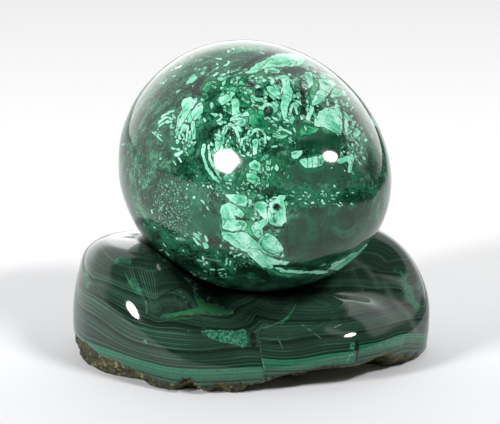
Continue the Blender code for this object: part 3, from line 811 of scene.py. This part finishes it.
def eggMaterial():
    look = eggLook
    material, tree, shader = startMaterial("brecciated malachite")
    place = put(tree, "TexCoord").outputs["Object"]
    fine = grain(tree, look, "fine", place)
    ragged = centred(tree, grain(tree, look, "ragged", place))
    shift = vectorOf(tree, "SUBTRACT", grain(tree, look, "wander", place, "Color"), (.5, .5, .5))
    crumpled = vectorOf(tree, "ADD", place, vectorOf(tree, "MULTIPLY", shift, (look["crumple"],) * 3))

    # the ground: broken grains of many sizes, drawn out along the slope on the outer parts
    turned = put(tree, "Mapping", {"Vector": place, "Rotation": look["streakTurn"]}).outputs[0]
    mottle = grain(tree, look, "mottle", crumpled)
    streaks = grain(tree, look, "streaks", vectorOf(tree, "MULTIPLY", turned, look["streakShape"]))
    streaked = fade(tree, painted(tree, "streaks"), .1, .9)
    tone = put(tree, "Mix", {0: streaked, 2: mottle, 3: streaks}).outputs[0]
    tone = calc(tree, "MULTIPLY_ADD", centred(tree, fine), .5, tone)
    deep = fade(tree, painted(tree, "deep"), .1, .8)
    colour = mixIn(tree, deep, rampOf(tree, tone, look["ground"]), rampOf(tree, tone, look["deep"]))

    # chips of broken stone in two sizes, with dark seams, crowded and paler in the clusters
    laceHere = painted(tree, "lace")
    cluster = painted(tree, "cluster")
    crowd = fade(tree, mottle, .36, .56, .25, .8)
    colour = mixIn(tree, cluster, colour, rampOf(tree, tone, look["mint"]), crowd)
    for (size, rare, seam), source in zip(look["chipSizes"], (place, crumpled)):
        cells = put(tree, "TexVoronoi", {"Vector": source, "Scale": size}, feature="F1").outputs["Color"]
        random = put(tree, "SeparateColor", {0: cells}).outputs
        chance = calc(tree, "MULTIPLY_ADD", cluster, .35, calc(tree, "MULTIPLY_ADD", laceHere, .3, random[1]))
        tint = calc(tree, "MULTIPLY_ADD", centred(tree, mottle), .9, random[0])
        tint = calc(tree, "MULTIPLY_ADD", cluster, .18, calc(tree, "SUBTRACT", tint, .06))
        solid = fade(tree, seams(tree, source, size), seam * .3, seam)
        chip = mixIn(tree, solid, look["dark"], rampOf(tree, tint, look["chips"]))
        near = fade(tree, calc(tree, "MAXIMUM", laceHere, cluster), .15, .5, 0, .92)
        colour = mixIn(tree, calc(tree, "GREATER_THAN", chance, rare), colour, chip, near)

    # lace: thin pale contour lines
    swirl = grain(tree, look, "swirl", crumpled)
    lines = calc(tree, "PINGPONG", calc(tree, "MULTIPLY", swirl, look["laceLines"]), 1)
    broken = fade(tree, grain(tree, look, "broken", place), .44, .58)
    laced = calc(tree, "MULTIPLY", calc(tree, "MULTIPLY", fade(tree, lines, .26, .02), broken), laceHere)
    colour = mixIn(tree, laced, colour, look["lace"], .7)

    # smooth ground, and soft washes of other tones
    calm = fade(tree, painted(tree, "calm"), .25, .8)
    colour = mixIn(tree, calm, colour, rampOf(tree, grain(tree, look, "calm", place), look["calm"]), .88)
    for name, (wash, strength) in look["washes"].items():
        colour = mixIn(tree, painted(tree, name), colour, wash, strength)

    # specks: pale grains on a darker ground
    speckled = painted(tree, "specks")
    colour = mixIn(tree, speckled, colour, look["dark"], .45)
    dots = calc(tree, "MULTIPLY_ADD", speckled, .08, grain(tree, look, "dots", crumpled))
    dots = fade(tree, dots, .61, .7)
    colour = mixIn(tree, dots, colour, look["speck"], fade(tree, speckled, .1, .6, .08, .8))
    # painted shade: the lower part of the egg is darkened towards the dark colour
    colour = mixIn(tree, painted(tree, "paintedShade"), colour, look["dark"], .55)

    # painted marks: a green halo, a thin dark outline, then the filling with its paler rim
    colour = mixIn(tree, edge(tree, "brown", ragged, .8, .25), colour, look["brown"], .6)
    for name, rough, wider in (("mint", 1.1, 0), ("pale", .6, .12)):
        value = calc(tree, "MULTIPLY_ADD", ragged, rough, calc(tree, "SUBTRACT", painted(tree, name), wider))
        halo = calc(tree, "MULTIPLY", fade(tree, value, 1.3, .2, 0, .75), fade(tree, mottle, .4, .6))
        colour = mixIn(tree, halo, colour, look["halo"], fade(tree, cluster, 0, 1, 1, .1))
        colour = mixIn(tree, fade(tree, value, .26, .06, 0, .8), colour, look["outline"])
        bands = calc(tree, "SINE", calc(tree, "MULTIPLY", calc(tree, "ADD", value, swirl), 9))
        inner = calc(tree, "MULTIPLY_ADD", bands, .03, grain(tree, look, "fill", crumpled))
        inner = calc(tree, "MULTIPLY_ADD", centred(tree, streaks), .5, inner)
        veins = fade(tree, seams(tree, crumpled, look["veinSize"]), .05, .015, 0, .8)
        fill = mixIn(tree, veins, rampOf(tree, inner, look[name]), look["veins"], broken)
        if name == "pale":
            fill = mixIn(tree, fade(tree, value, -.4, -.1, 0, .35), fill, look["rim"])
            crack = calc(tree, "MULTIPLY_ADD", ragged, .5, painted(tree, "seam"))
            fill = mixIn(tree, fade(tree, crack, .3, .08, 0, .8), fill, look["outline"])
        colour = mixIn(tree, fade(tree, value, .07, -.07), colour, fill)
    colour = mixIn(tree, edge(tree, "dark", ragged, .7, .14), colour, look["dark"], .85)

    # the open vugs: darkened as painted shade of the hollow, rough, with bright specks as painted glints of
    # their crystals
    vug = painted(tree, "vug")
    sparkle = fade(tree, grain(tree, look, "sparkle", place), .58, .66)
    # painted glints: bright specks inside the vugs
    colour = mixIn(tree, vug, colour, mixIn(tree, sparkle, look["vug"], look["speck"]))
    gloss = calc(tree, "MULTIPLY_ADD", vug, .4, calc(tree, "MULTIPLY_ADD", fine, .05, look["gloss"]))
    finishMaterial(tree, shader, look, colour, gloss, grain(tree, look, "polish", place))
    return material


# The stand. Lists go round from the right, anticlockwise from above, in even steps of angle, in mm.
standShape = {
    "reach": (44.9, 44.6, 42.5, 40.0, 37.8, 36.0, 35.3, 36.0, 38.0, 41.0, 44.2, 46.3,
              46.6, 44.8, 41.0, 38.4, 36.8, 34.2, 32.2, 32.0, 33.6, 36.6, 38.0, 41.4),
    "edgeHeight": (26, 33, 34, 31.5, 28, 26, 25, 24.5, 24.8, 26, 27.2, 28.6,
                   29.8, 30, 29, 25, 19.5, 15.6, 14.4, 14.8, 16, 17.8, 18.4, 18.6),
    "edgeRound": (13, 12, 12, 12, 11, 10, 9, 8, 6, 5, 4.5, 4.5,
                  5, 8, 12, 12, 10, 8, 8, 8, 8, 9, 10, 11),
    "shelf": (.95, .95, .95, .9, .85, .8, .8, .8, .75, .7, .66, .62,
              .6, .62, .7, .8, .9, .95, .95, .95, .95, .95, .95, .95),
    "breakHeight": (.6, 2.6, 4.0, 4.5, 4.0, 3.0, 2.5, 3.0, 4.5, 5.5, 5.0, 4.0,
                    3.3, 3.6, 3.0, 2.4, 1.4, 2.4, 2.6, 4.4, 5.2, 5.4, 5.6, 2.2),
    "undercut": (5, 7, 8, 8, 8, 9, 10, 9, 8, 6, 4, 2.4,
                 1.8, 1.7, 1.8, 2.0, 2.2, 4, 11, 19, 26, 30, 30, 10),
    "rindAbove": (.4, .4, .6, .8, .6, .6, .6, .8, 1.0, 1.6, 2.2, 2.6,
                  3.2, 2.6, 1.2, .6, .8, .3, .1, -.4, -.8, -.2, -1.4, -1.4),
    "floorHeight": 17.6,
    "climbStart": .2,              # the top climbs from this share of the reach to the shelf's
    "bulgeHeight": (9, 9, 9, 9, 9, 9, 9, 9, 9, 9, 9, 9,
                    9, 9, 8, 5, 1, 0, 0, 0, 0, 1, 3, 7),
    "bulge": 4, "bulgeSpan": 20,
    "seatGap": .35, "seatRim": 1.6,
    "swells": (                    # soft rises and dips of the top
        {"at": (20, 4), "high": 3.5, "wide": 7},
        {"at": (36, 4), "high": -5, "wide": 8},
    ),
    "knuckles": (                  # soft bumps of the side
        {"at": (-31, -20, 25), "high": 1.6, "wide": 7.5},
        {"at": (32, -21, 12.5), "high": 1.2, "wide": 6},
    ),
    "rubbleHeight": 1.7, "rubbleLengths": (24, 6), "rubbleWaves": 14, "rubbleSeed": 18,
    "footSink": 1.0,
    "coreDepth": 10, "coreThickness": .4, "coreSide": .35,
    "farthest": 60, "halvings": 26,
    "cells": (200, 160, 40),
    "grit": .45,                   # how rough the broken rind is
    "marksBelow": 226,             # marks are only painted below this row of the photo
    "hiddenEyes": 12, "eyeSize": (3, 8),                       # eyes in the layers out of the photo's sight
    "faultThrow": 2.0,             # how far the fault shifts the layers
    "layerLean": .27,              # how much higher a layer the top shows, for each mm towards the back
    "notch": {"at": (2.6, -31.5, 1.1), "wide": .75, "tall": 4.4, "deep": 4.0},
}


def atAngle(values, angle):        # a smooth closed curve through values at even steps of angle
    values = np.asarray(values, float)
    place = (angle / (2 * math.pi) * len(values)) % len(values)
    first = np.floor(place).astype(int) % len(values)
    t = place - np.floor(place)
    a, b, c, d = (values[(first + k) % len(values)] for k in (-1, 0, 1, 2))
    bend = (2 * a - 5 * b + 4 * c - d) * t**2 + (3 * b - a - 3 * c + d) * t**3
    return 0.5 * (2 * b + (c - a) * t + bend)


def smoothLower(a, b, reach):
    share = np.clip(0.5 + 0.5 * (b - a) / reach, 0, 1)
    return b + (a - b) * share - reach * share * (1 - share)


def outsideEgg(x, y, z):           # how far out of the egg, along the ray from its centre, in mm
    dx, dy, dz = (value - middle / mm for value, middle in zip((x, y, z), eggShape["centre"]))
    long, side = dx * cosine + dy * sine, dy * cosine - dx * sine
    along = np.clip(long / (eggShape["length"] / mm / 2), -1.6, 1.6)
    girth = eggShape["width"] / mm / 2 * (1 - eggShape["taper"] * along)
    level = np.sqrt(along**2 + (side**2 + dz**2) / girth**2)
    return np.sqrt(dx**2 + dy**2 + dz**2) * (1 - 1 / np.maximum(level, .05))


def topHeight(x, y):
    angle = np.arctan2(y, x)
    out = np.hypot(x, y) / atAngle(standShape["reach"], angle)
    climb = smoothStep(standShape["climbStart"], atAngle(standShape["shelf"], angle), out)
    floor = standShape["floorHeight"]
    height = floor + (atAngle(standShape["edgeHeight"], angle) - floor) * climb
    for swell in standShape["swells"]:
        height = height + bumpAt((x, y), swell)
    return height


def bumpAt(place, bump):           # a round bump that fades out evenly
    away = sum((value - middle) ** 2 for value, middle in zip(place, bump["at"]))
    return bump["high"] * np.exp(-away / (2 * bump["wide"] ** 2))


def rubble(x, y):
    chance = np.random.default_rng(standShape["rubbleSeed"])
    longest, shortest = standShape["rubbleLengths"]
    total = np.zeros_like(x)
    for length in np.geomspace(longest, shortest, standShape["rubbleWaves"]):
        turn = chance.uniform(0, math.pi)
        phase = chance.uniform(0, 2 * math.pi)
        along = x * math.cos(turn) + y * math.sin(turn)
        total += (length / longest) ** 0.7 * np.sin(2 * math.pi * along / length + phase)
    return standShape["rubbleHeight"] * total / 2


def undersideHeight(x, y, inset):
    angle = np.arctan2(y, x)
    undercut = atAngle(standShape["undercut"], angle)
    drop = smoothStep(0, undercut, inset)
    height = atAngle(standShape["breakHeight"], angle) * (1 - drop) - standShape["footSink"] * drop
    return np.maximum(height + rubble(x, y) * smoothStep(0, undercut / 2, inset), 0)


def insideStand(x, y, z):          # positive inside the stone, in mm
    angle = np.arctan2(y, x)
    lift = (z - atAngle(standShape["bulgeHeight"], angle)) / standShape["bulgeSpan"]
    inset = atAngle(standShape["reach"], angle) - standShape["bulge"] * lift**2 - np.hypot(x, y)
    for knuckle in standShape["knuckles"]:
        inset = inset + bumpAt((x, y, z), knuckle)
    belowTop = topHeight(x, y) - z
    curve = atAngle(standShape["edgeRound"], angle)
    corner = curve - np.hypot(np.maximum(curve - inset, 0), np.maximum(curve - belowTop, 0))
    rolled = np.where((inset < curve) & (belowTop < curve), corner, np.minimum(inset, belowTop))
    seated = smoothLower(rolled, outsideEgg(x, y, z) - standShape["seatGap"], standShape["seatRim"])
    return np.minimum(seated, z - undersideHeight(x, y, inset))


def placeStand(cube):              # each point slides out from a flat core to the skin
    shape = standShape
    flat = cube[:, :2] * np.sqrt(1 - cube[:, 1::-1] ** 2 / 2)
    angle = np.arctan2(flat[:, 1], flat[:, 0])
    out = np.clip(np.hypot(flat[:, 0], flat[:, 1]), 0, 1)
    up = np.abs(cube[:, 2])
    reach = atAngle(shape["reach"], angle)
    rim = 1 / (1 + math.pi / 4 * shape["coreDepth"] / (reach - shape["coreDepth"]))
    core = (reach - shape["coreDepth"]) * np.minimum(out / rim, 1)
    x, y = core * np.cos(angle), core * np.sin(angle)
    width = eggShape["width"] / mm
    seat = eggShape["centre"].z / mm - width / 2 + core**2 / width
    ceiling = np.minimum(topHeight(x, y), seat)
    floor = atAngle(shape["breakHeight"], angle) * out**2
    thick = (ceiling - floor) / 2 * shape["coreThickness"]
    z = (ceiling + floor) / 2 + np.sign(cube[:, 2]) * thick * np.minimum(up / shape["coreSide"], 1)
    lean = np.tan(math.pi / 4 * np.clip((out - rim) / (1 - rim), 0, 1))
    lift = np.tan(math.pi / 4 * np.clip((up - shape["coreSide"]) / (1 - shape["coreSide"]), 0, 1))
    ray = np.stack([lean * np.cos(angle), lean * np.sin(angle), lift * np.sign(cube[:, 2])])
    ray /= np.linalg.norm(ray, axis=0)
    near, far = np.zeros(len(cube)), np.full(len(cube), float(shape["farthest"]))
    for _ in range(shape["halvings"]):
        half = (near + far) / 2
        inside = insideStand(x + ray[0] * half, y + ray[1] * half, z + ray[2] * half) > 0
        near, far = np.where(inside, half, near), np.where(inside, far, half)
    return (np.stack([x, y, z], 1) + ray.T * near[:, None]) * mm


# Folds that bend the layers: a chain of beads in the photo, how far the bend carries in pixels, and how
# much higher a layer shows there, in mm.
folds = {
    "green fold": {"carry": 22, "lift": 4.5, "chain": [
        (195, 294, .6), (199, 302, 2.6), (206, 307.6, 4), (216, 309.6, 3), (226, 312, 1.6)]},
    "lens": {"chain": [(168, 301, 8), (184, 298, 9)], "carry": 10, "lift": -2},
    "fan": {"chain": [(150, 262, 3), (156, 290, 3), (158, 318, 2)], "carry": 16, "lift": 1.5},
    "eye": {"chain": [(121, 260.6, 1), (127, 260.4, 1)], "carry": 8, "lift": 2},
    "left eye": {"chain": [(90, 281, 1.4)], "carry": 9, "lift": 1.6},
    "chevron": {"chain": [(262, 296, 1), (256, 312, 1), (262, 326, 1)], "carry": 18, "lift": -2.5},
    "hump eye": {"chain": [(410, 292, 1.4), (406, 283, 1)], "carry": 12, "lift": 2.4},
    "right swirl": {"chain": [(386, 262, 2), (392, 254, 1)], "carry": 12, "lift": 2},
}
# A fan of thin lines between two curves in the photo.
fan = {"left": [(124, 270), (130, 284), (138, 296), (149, 314)],
       "right": [(153, 262), (157, 280), (158, 300), (156, 318)],
       "lines": 11, "top": 262, "foot": 320, "fade": 14}
faultLine = [(296, 310), (290, 315.7), (276.6, 323.7), (262.8, 328.3), (258.6, 340), (260, 353),
             (263.6, 372), (261, 386)]
standMint = {
    "rectangle": [(202.6, 331.4, 1), (211, 334, 4), (222, 336, 6), (234, 337.6, 7.2), (240.6, 338.6, 7.4)],
    "rectangle end": [(242.6, 333, 4), (243.4, 344, 3.6)],
    "dot": [(145, 342, 2.4)],
    "dot 2": [(188.6, 331, 1.1)],
    "dot 3": [(184.4, 331.6, .7)],
    "wedge": [(352.4, 344, 2), (351.6, 353, 2.4), (347, 361, .8)],
    "lens speck 1": [(179, 293, .8), (181, 292, .6)],
    "lens speck 2": [(184, 297, .9)],
    "lens speck 3": [(186, 301, .7), (187.4, 302.6, .5)],
    "lens speck 4": [(181.6, 299.6, .6)],
    "lens speck 5": [(187, 293.6, .7)],
}
standGreen = {                     # the bright green of the fold and of the fan
    "fold": [(194.4, 293.6, .8), (198, 300.6, 2.4), (204, 306.8, 4.2), (214, 309.6, 3.6), (225, 311.8, 2.2),
             (232, 312.8, .8)],
    "fold foot": [(203, 309.6, 2.6), (190, 311.8, 2.2), (176, 314, 1.5), (162, 315.6, .7)],
    "fan edge": [(126, 275, .5), (130.6, 284, 1.2), (135.4, 290.4, .7)],
    "under fold": [(160, 318.4, .5), (176, 319, .6), (192, 317.8, .4)],
    "fault top": [(281, 324, .5), (287, 318, .8), (293, 310, .8), (295.6, 304, .4)],
}
standCloud = {                     # soft mint clouds
    "hump": [(401, 279, 1), (408, 290, 4), (415, 303, 3), (418, 309, 1)],
    "hump top": [(396, 271, 1), (405, 277, 2.4)],
    "left": [(84.8, 274.4, 1.6)],
    "left low": [(89.7, 283.3, 2)],
    "eye": [(117, 261.4, 1.6), (128, 260.4, 2)],
    "fan": [(132, 282, 1.6), (140, 290, 1.4)],
    "block": [(364, 350, 1), (384, 344.4, 1.6), (403, 342, 1.4)],
}
standDark = {
    "crack": [(357, 341, 1.4), (357.6, 350, 1.8), (356.4, 362, 1.2)],
    "block": [(252.6, 335, 3), (254, 344, 3)],
    "fault": [(x, y, .35) for x, y in faultLine[3:]],
    "lens edge": [(161, 303, .6), (166, 292, .7), (180, 287.4, .7), (192, 291, .6), (193, 300, .7),
                  (186, 309, .7), (172, 312.6, .6), (162, 309, .6)],
}
standPale = {                      # thin pale lines: healed cracks
    "fault top": [(290, 315.7, .2), (276.6, 323.7, .4), (262.8, 328.3, .4)],
    "fault foot": [(259.6, 341, .25), (261, 353, .3), (265, 372, .25)],
    "vein 1": [(278, 337, .2), (281, 345, .3), (284, 352, .2)],
    "vein 2": [(300, 323, .2), (314, 333, .3), (329, 345, .2)],
    "olive": [(145.8, 300, .4), (146.6, 314, .4)],
    "rim line": [(350, 357, .4), (346, 364, .4)],
    "hump ring": [(405, 289, .3), (407, 286, .4), (411, 286.6, .4), (412, 290, .3), (409, 292.6, .4),
                  (405.6, 291.4, .3)],
    "fold rim": [(190.4, 285.6, .3), (195.4, 292, .4), (201, 299, .4), (209, 303.6, .4), (220, 306.4, .4),
                 (233, 311, .3)],
    "fold foot": [(161, 317.2, .3), (176.6, 316, .4), (190, 314.2, .4), (204, 313.2, .4), (220, 314.6, .4),
                  (233, 313, .3)],
}
standHazeAndGlare = {                      # soft grey streaks, and a painted reflection: the tail spreading left of the right lamp's highlight
    "arc": [(353, 259.6, .4), (366, 267.6, 1), (374, 278, 1), (379, 287, .6)],
    "grey streak": [(383.8, 283.3, .6), (389.7, 294, 1.4), (399, 305, 1.8), (408.5, 314, 1.8),
                    (416.4, 331.7, 1)],
    # tail: painted reflection, the soft spill of the right lamp's highlight
    "tail": [(327, 329.6, .8), (338, 332.6, 1.6), (348, 335, 1)],
}


def paintFan(piece, spots, shown):
    left, right = (np.interp(spots[:, 1], *np.array(fan[side]).T[::-1]) for side in ("left", "right"))
    share = np.clip((spots[:, 0] - left) / (right - left), -.2, 1.2)
    within = smoothStep(-.1, .1, share) * smoothStep(1.1, .9, share)
    within *= smoothStep(fan["top"], fan["top"] + fan["fade"], spots[:, 1])
    within *= smoothStep(fan["foot"], fan["foot"] - fan["fade"], spots[:, 1])
    paint(piece, "fanLine", share * fan["lines"])
    paint(piece, "fan", within * shown)


def makeStand():
    shape = standShape
    piece = addPiece("malachite_stand", cubeGrid(shape["cells"]), placeStand)
    points = read(piece, "co")
    outward = read(piece, "normal")
    x, y, z = (points / mm).T
    angle = np.arctan2(y, x)
    rind = z - atAngle(shape["breakHeight"], angle) - atAngle(shape["rindAbove"], angle)
    rind += waves(points, 9 * mm, 2.5 * mm, 10, 21) * .55
    rind = np.where((outward[:, 2] < -.3) & (z < 9), np.minimum(rind, -1), rind)

    # the broken rind is rough, and lies a little below the polish
    grit = np.abs(waves(points, 5 * mm, 1.2 * mm, 24, 22, .55))
    grit += .5 * waves(points, 2.4 * mm, .9 * mm, 16, 23, .5)
    rough = smoothStep(.5, -.3, rind) * smoothStep(.05, .6, z)
    deep = rough * (grit * shape["grit"] + .25)
    notch = shape["notch"]
    across = np.abs(x - notch["at"][0] + .25 * waves(points, 4 * mm, 1 * mm, 6, 24)) / notch["wide"]
    above = np.clip((z - notch["at"][2]) / notch["tall"], 0, 1)
    inNotch = np.clip(1 - across - above, 0, 1) * (y < notch["at"][1] + 12)
    spots = inPhoto(points)
    facing = ((np.array(cameraAt) - points) * outward).sum(1) > 0
    fault = chainDistance(spots, [(*spot, 0) for spot in faultLine[3:]])
    groove = smoothStep(1.1, .1, fault) * facing * smoothStep(12, 8, z) * .1
    deep = np.maximum(deep, np.maximum(inNotch * notch["deep"], groove))
    moved = points - outward * deep[:, None] * mm * (outward[:, 2] > -.5)[:, None]
    moved[:, 2] = np.maximum(moved[:, 2], 0)
    movePoints(piece, moved)

    # which layer each point shows, in mm from the table up through the layers as they lay before they bent
    perPixel = view["distance"] / focal / mm
    shown = facing & (spots[:, 1] > shape["marksBelow"])
    topness = np.clip(outward[:, 2], 0, 1)
    level = z + waves(points, 40 * mm, 12 * mm, 10, 30) * (.35 + .9 * topness)
    level += shape["layerLean"] * (y + 28) * topness**2
    level += 1.1 * np.exp(-(((x + 12) / 11) ** 2)) * smoothStep(6, 16, z)      # a dip left of the middle
    level += 5.5 * smoothStep(36, 47, x) * smoothStep(12, -6, y)               # down round the right end
    level -= 1.5 * smoothStep(24.6, 26, x) * smoothStep(5, -8, y) * smoothStep(16, 9, z)   # a step up
    level -= 4 * smoothStep(-28, -44, x) * smoothStep(5, 15, z)                # up at the left end
    for fold in folds.values():
        gap = np.maximum(chainDistance(spots[shown], fold["chain"]), 0)
        level[shown] += fold["lift"] * np.exp(-gap / fold["carry"] * 1.6)
    chance = np.random.default_rng(31)
    for _ in range(shape["hiddenEyes"]):
        spot = points[chance.integers(len(points))] / mm
        size = chance.uniform(*shape["eyeSize"])
        gap = np.linalg.norm((points / mm - spot) * (1, 1, 1.6), axis=1)
        level += np.where(shown, 0, chance.choice((-1, 1)) * size * .7 * np.exp(-((gap / size) ** 2)))
    right = np.array(faultLine[3:])
    side = spots[:, 0] - np.interp(spots[:, 1], right[:, 1], right[:, 0])
    paint(piece, "layer", level)
    paint(piece, "faultSide", np.where(facing & (y < 0), side * perPixel, -5))
    paint(piece, "faultThrow", shape["faultThrow"] * smoothStep(17, 13, z))
    paint(piece, "rind", rind)
    paintFan(piece, spots, shown)
    painting = {"mint": standMint, "green": standGreen, "cloud": standCloud, "dark": standDark,
                "pale": standPale, "haze": standHazeAndGlare}
    for name, marks in painting.items():
        first = np.full(len(points), 4.0)
        first[shown] = np.minimum(marksDistance(spots[shown], marks.values())[0] * perPixel, 4)
        paint(piece, name, first)
    paint(piece, "top", topness)
    # seat: 1 where the egg nearly touches; below it darkens the colour there as painted contact shade and
    # roughens the polish
    paint(piece, "seat", smoothStep(2.4, .9, outsideEgg(x, y, z)))
    piece.data.shade_smooth()
    piece.data.materials.append(standMaterial())
    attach(piece, "root")
    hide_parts("stand")
    print("stand:", len(piece.data.polygons), "faces")


standLook = {
    "grains": {                    # how many to a metre, then detail and roughness
        "fine": (1300, 3, .6), "ragged": (800, 4, .65), "bend": (90, 4, .5), "faint": (110, 4, .6),
        "soft": (330, 5, .65), "clots": (1500, 3, .6), "grit": (330, 4, .7), "polish": (220, 2),
    },
    "span": 10.0,                  # the stops of the foot are shares of this height, in mm from the table
    "foot": ((0, 20, 46, 34), (.17, 22, 50, 38), (.19, 44, 104, 76), (.215, 44, 104, 76), (.23, 20, 46, 34),
             (.3, 24, 56, 42), (.32, 40, 100, 74), (.36, 32, 84, 62), (.375, 18, 42, 32), (.41, 22, 52, 40),
             (.425, 58, 126, 94), (.44, 28, 68, 50), (.46, 38, 100, 73), (.53, 42, 110, 81),
             (.545, 24, 70, 52), (.56, 44, 114, 84), (.62, 50, 124, 93), (.635, 30, 82, 60),
             (.65, 52, 126, 94), (.69, 48, 114, 86), (.7, 18, 42, 32), (.75, 26, 56, 43),
             (.765, 58, 112, 84), (.78, 22, 44, 34), (.83, 24, 48, 37), (.845, 46, 88, 66),
             (.86, 24, 46, 36), (1, 28, 46, 38)),
    "dark": ((.25, 14, 30, 24), (.5, 32, 54, 44), (.75, 52, 82, 66)),
    "footTop": (9, 7.6),           # where the bands of the foot give way to the thin layers, in mm
    "dust": shade(32, 54, 44),
    "layers": ((1.25, 1.5, .13, .7), (.52, 1.8, .2, .3)),      # pitch and waver in mm, half width, strength
    "toneChange": .32,             # how often the ground and the pitch of the layers change, to a mm
    "pitchChange": .7,
    "line": shade(88, 146, 116),
    "mint": ((.4, 28, 74, 56), (.5, 50, 112, 86), (.6, 80, 146, 115)),
    "cloud": shade(60, 138, 104),
    "green": shade(52, 128, 78),
    # crack: the colour of dark cracks, also used for the painted contact shade where the egg rests
    "crack": shade(22, 28, 23),
    "pale": shade(132, 168, 148),
    "haze": shade(112, 128, 120),
    "depth": {"Value": .82},
    "rind": ((.36, 13, 14, 9), (.46, 42, 44, 27), (.55, 84, 84, 50), (.64, 164, 154, 92)),
    "gloss": .05,
    "bump": {"Strength": .5, "Distance": .3 * mm},
    "ior": 1.5,
}


def standMaterial():
    look = standLook
    material, tree, shader = startMaterial("banded malachite")
    place = put(tree, "TexCoord").outputs["Object"]
    fine = grain(tree, look, "fine", place)
    ragged = centred(tree, grain(tree, look, "ragged", place))
    beyond = calc(tree, "GREATER_THAN", painted(tree, "faultSide"), 0)
    thrown = calc(tree, "MULTIPLY", beyond, painted(tree, "faultThrow"))
    level = calc(tree, "SUBTRACT", painted(tree, "layer"), thrown)
    level = calc(tree, "MULTIPLY_ADD", centred(tree, grain(tree, look, "bend", place)), .7, level)
    level = calc(tree, "MULTIPLY_ADD", ragged, .12, level)

    # thin layers: pale lines of changing width on dark green
    colour = rampOf(tree, layerGrain(tree, level, look["toneChange"]), look["dark"])
    uneven = layerGrain(tree, level, look["pitchChange"])
    faint = fade(tree, grain(tree, look, "faint", place), .36, .62, .3, 1)
    faint = calc(tree, "MULTIPLY", faint, fade(tree, painted(tree, "top"), .2, .8, 1, .5))
    for pitch, waver, width, strength in look["layers"]:
        count = calc(tree, "MULTIPLY_ADD", uneven, waver / pitch, calc(tree, "DIVIDE", level, pitch))
        line = fade(tree, calc(tree, "PINGPONG", count, .5), width, width / 4)
        chance = calc(tree, "MULTIPLY", fade(tree, lineChance(tree, count), 0, 1, .2, strength), faint)
        colour = mixIn(tree, line, colour, look["line"], chance)

    # the foot's broader bands
    foot = rampOf(tree, calc(tree, "DIVIDE", level, look["span"]), look["foot"])
    foot = mixIn(tree, fade(tree, fine, .45, .7, 0, .35), foot, look["dust"])
    colour = mixIn(tree, fade(tree, level, *look["footTop"]), colour, foot)

    # painted marks
    colour = mixIn(tree, edge(tree, "green", ragged, .5, .25), colour, look["green"], .85)
    clots = grain(tree, look, "clots", place)
    patchy = calc(tree, "MULTIPLY_ADD", clots, .8, grain(tree, look, "soft", place))
    patchy = calc(tree, "SUBTRACT", patchy, .9)
    cloud = fade(tree, calc(tree, "MULTIPLY_ADD", patchy, 4.5, painted(tree, "cloud")), .7, -.6)
    colour = mixIn(tree, cloud, colour, look["cloud"], .65)
    colour = mixIn(tree, edge(tree, "mint", ragged, .9, .1), colour, rampOf(tree, clots, look["mint"]))
    count = calc(tree, "MULTIPLY_ADD", ragged, .6, painted(tree, "fanLine"))
    blades = fade(tree, calc(tree, "PINGPONG", count, .5), .24, .04)
    blades = calc(tree, "MULTIPLY", blades, lineChance(tree, count))
    blades = calc(tree, "MULTIPLY", blades, painted(tree, "fan"))
    colour = mixIn(tree, blades, colour, look["line"], .65)
    colour = mixIn(tree, edge(tree, "dark", ragged, .6, .12), colour, look["crack"], .85)
    colour = mixIn(tree, edge(tree, "pale", ragged, .9, .14), colour, look["pale"], .4)
    # the haze: soft grey streaks, and a painted reflection left of the right lamp's highlight
    haze = fade(tree, calc(tree, "MULTIPLY_ADD", patchy, 1.5, painted(tree, "haze")), 1, -.5, 0, .4)
    colour = mixIn(tree, haze, colour, look["haze"])

    # the broken rind, and the dull ring where the egg rests, darkened as painted contact shade
    broken = edge(tree, "rind", ragged, 1.2, .1)
    gritty = calc(tree, "MULTIPLY", grain(tree, look, "grit", place), .5)
    gritty = calc(tree, "MULTIPLY_ADD", fine, .5, gritty)
    colour = mixIn(tree, broken, colour, rampOf(tree, gritty, look["rind"]))
    seat = painted(tree, "seat")
    # painted contact shade: darker where the egg rests
    colour = mixIn(tree, seat, colour, look["crack"], .6)
    gloss = calc(tree, "MULTIPLY_ADD", seat, .45, calc(tree, "MULTIPLY_ADD", fine, .04, look["gloss"]))
    gloss = calc(tree, "MULTIPLY_ADD", broken, .6, gloss)
    height = calc(tree, "MULTIPLY", grain(tree, look, "polish", place), .04)
    height = calc(tree, "MULTIPLY_ADD", broken, fine, height)
    finishMaterial(tree, shader, look, colour, gloss, height)
    return material


addCamera()
addStudio()
addFloor()
makeEgg()
makeStand()
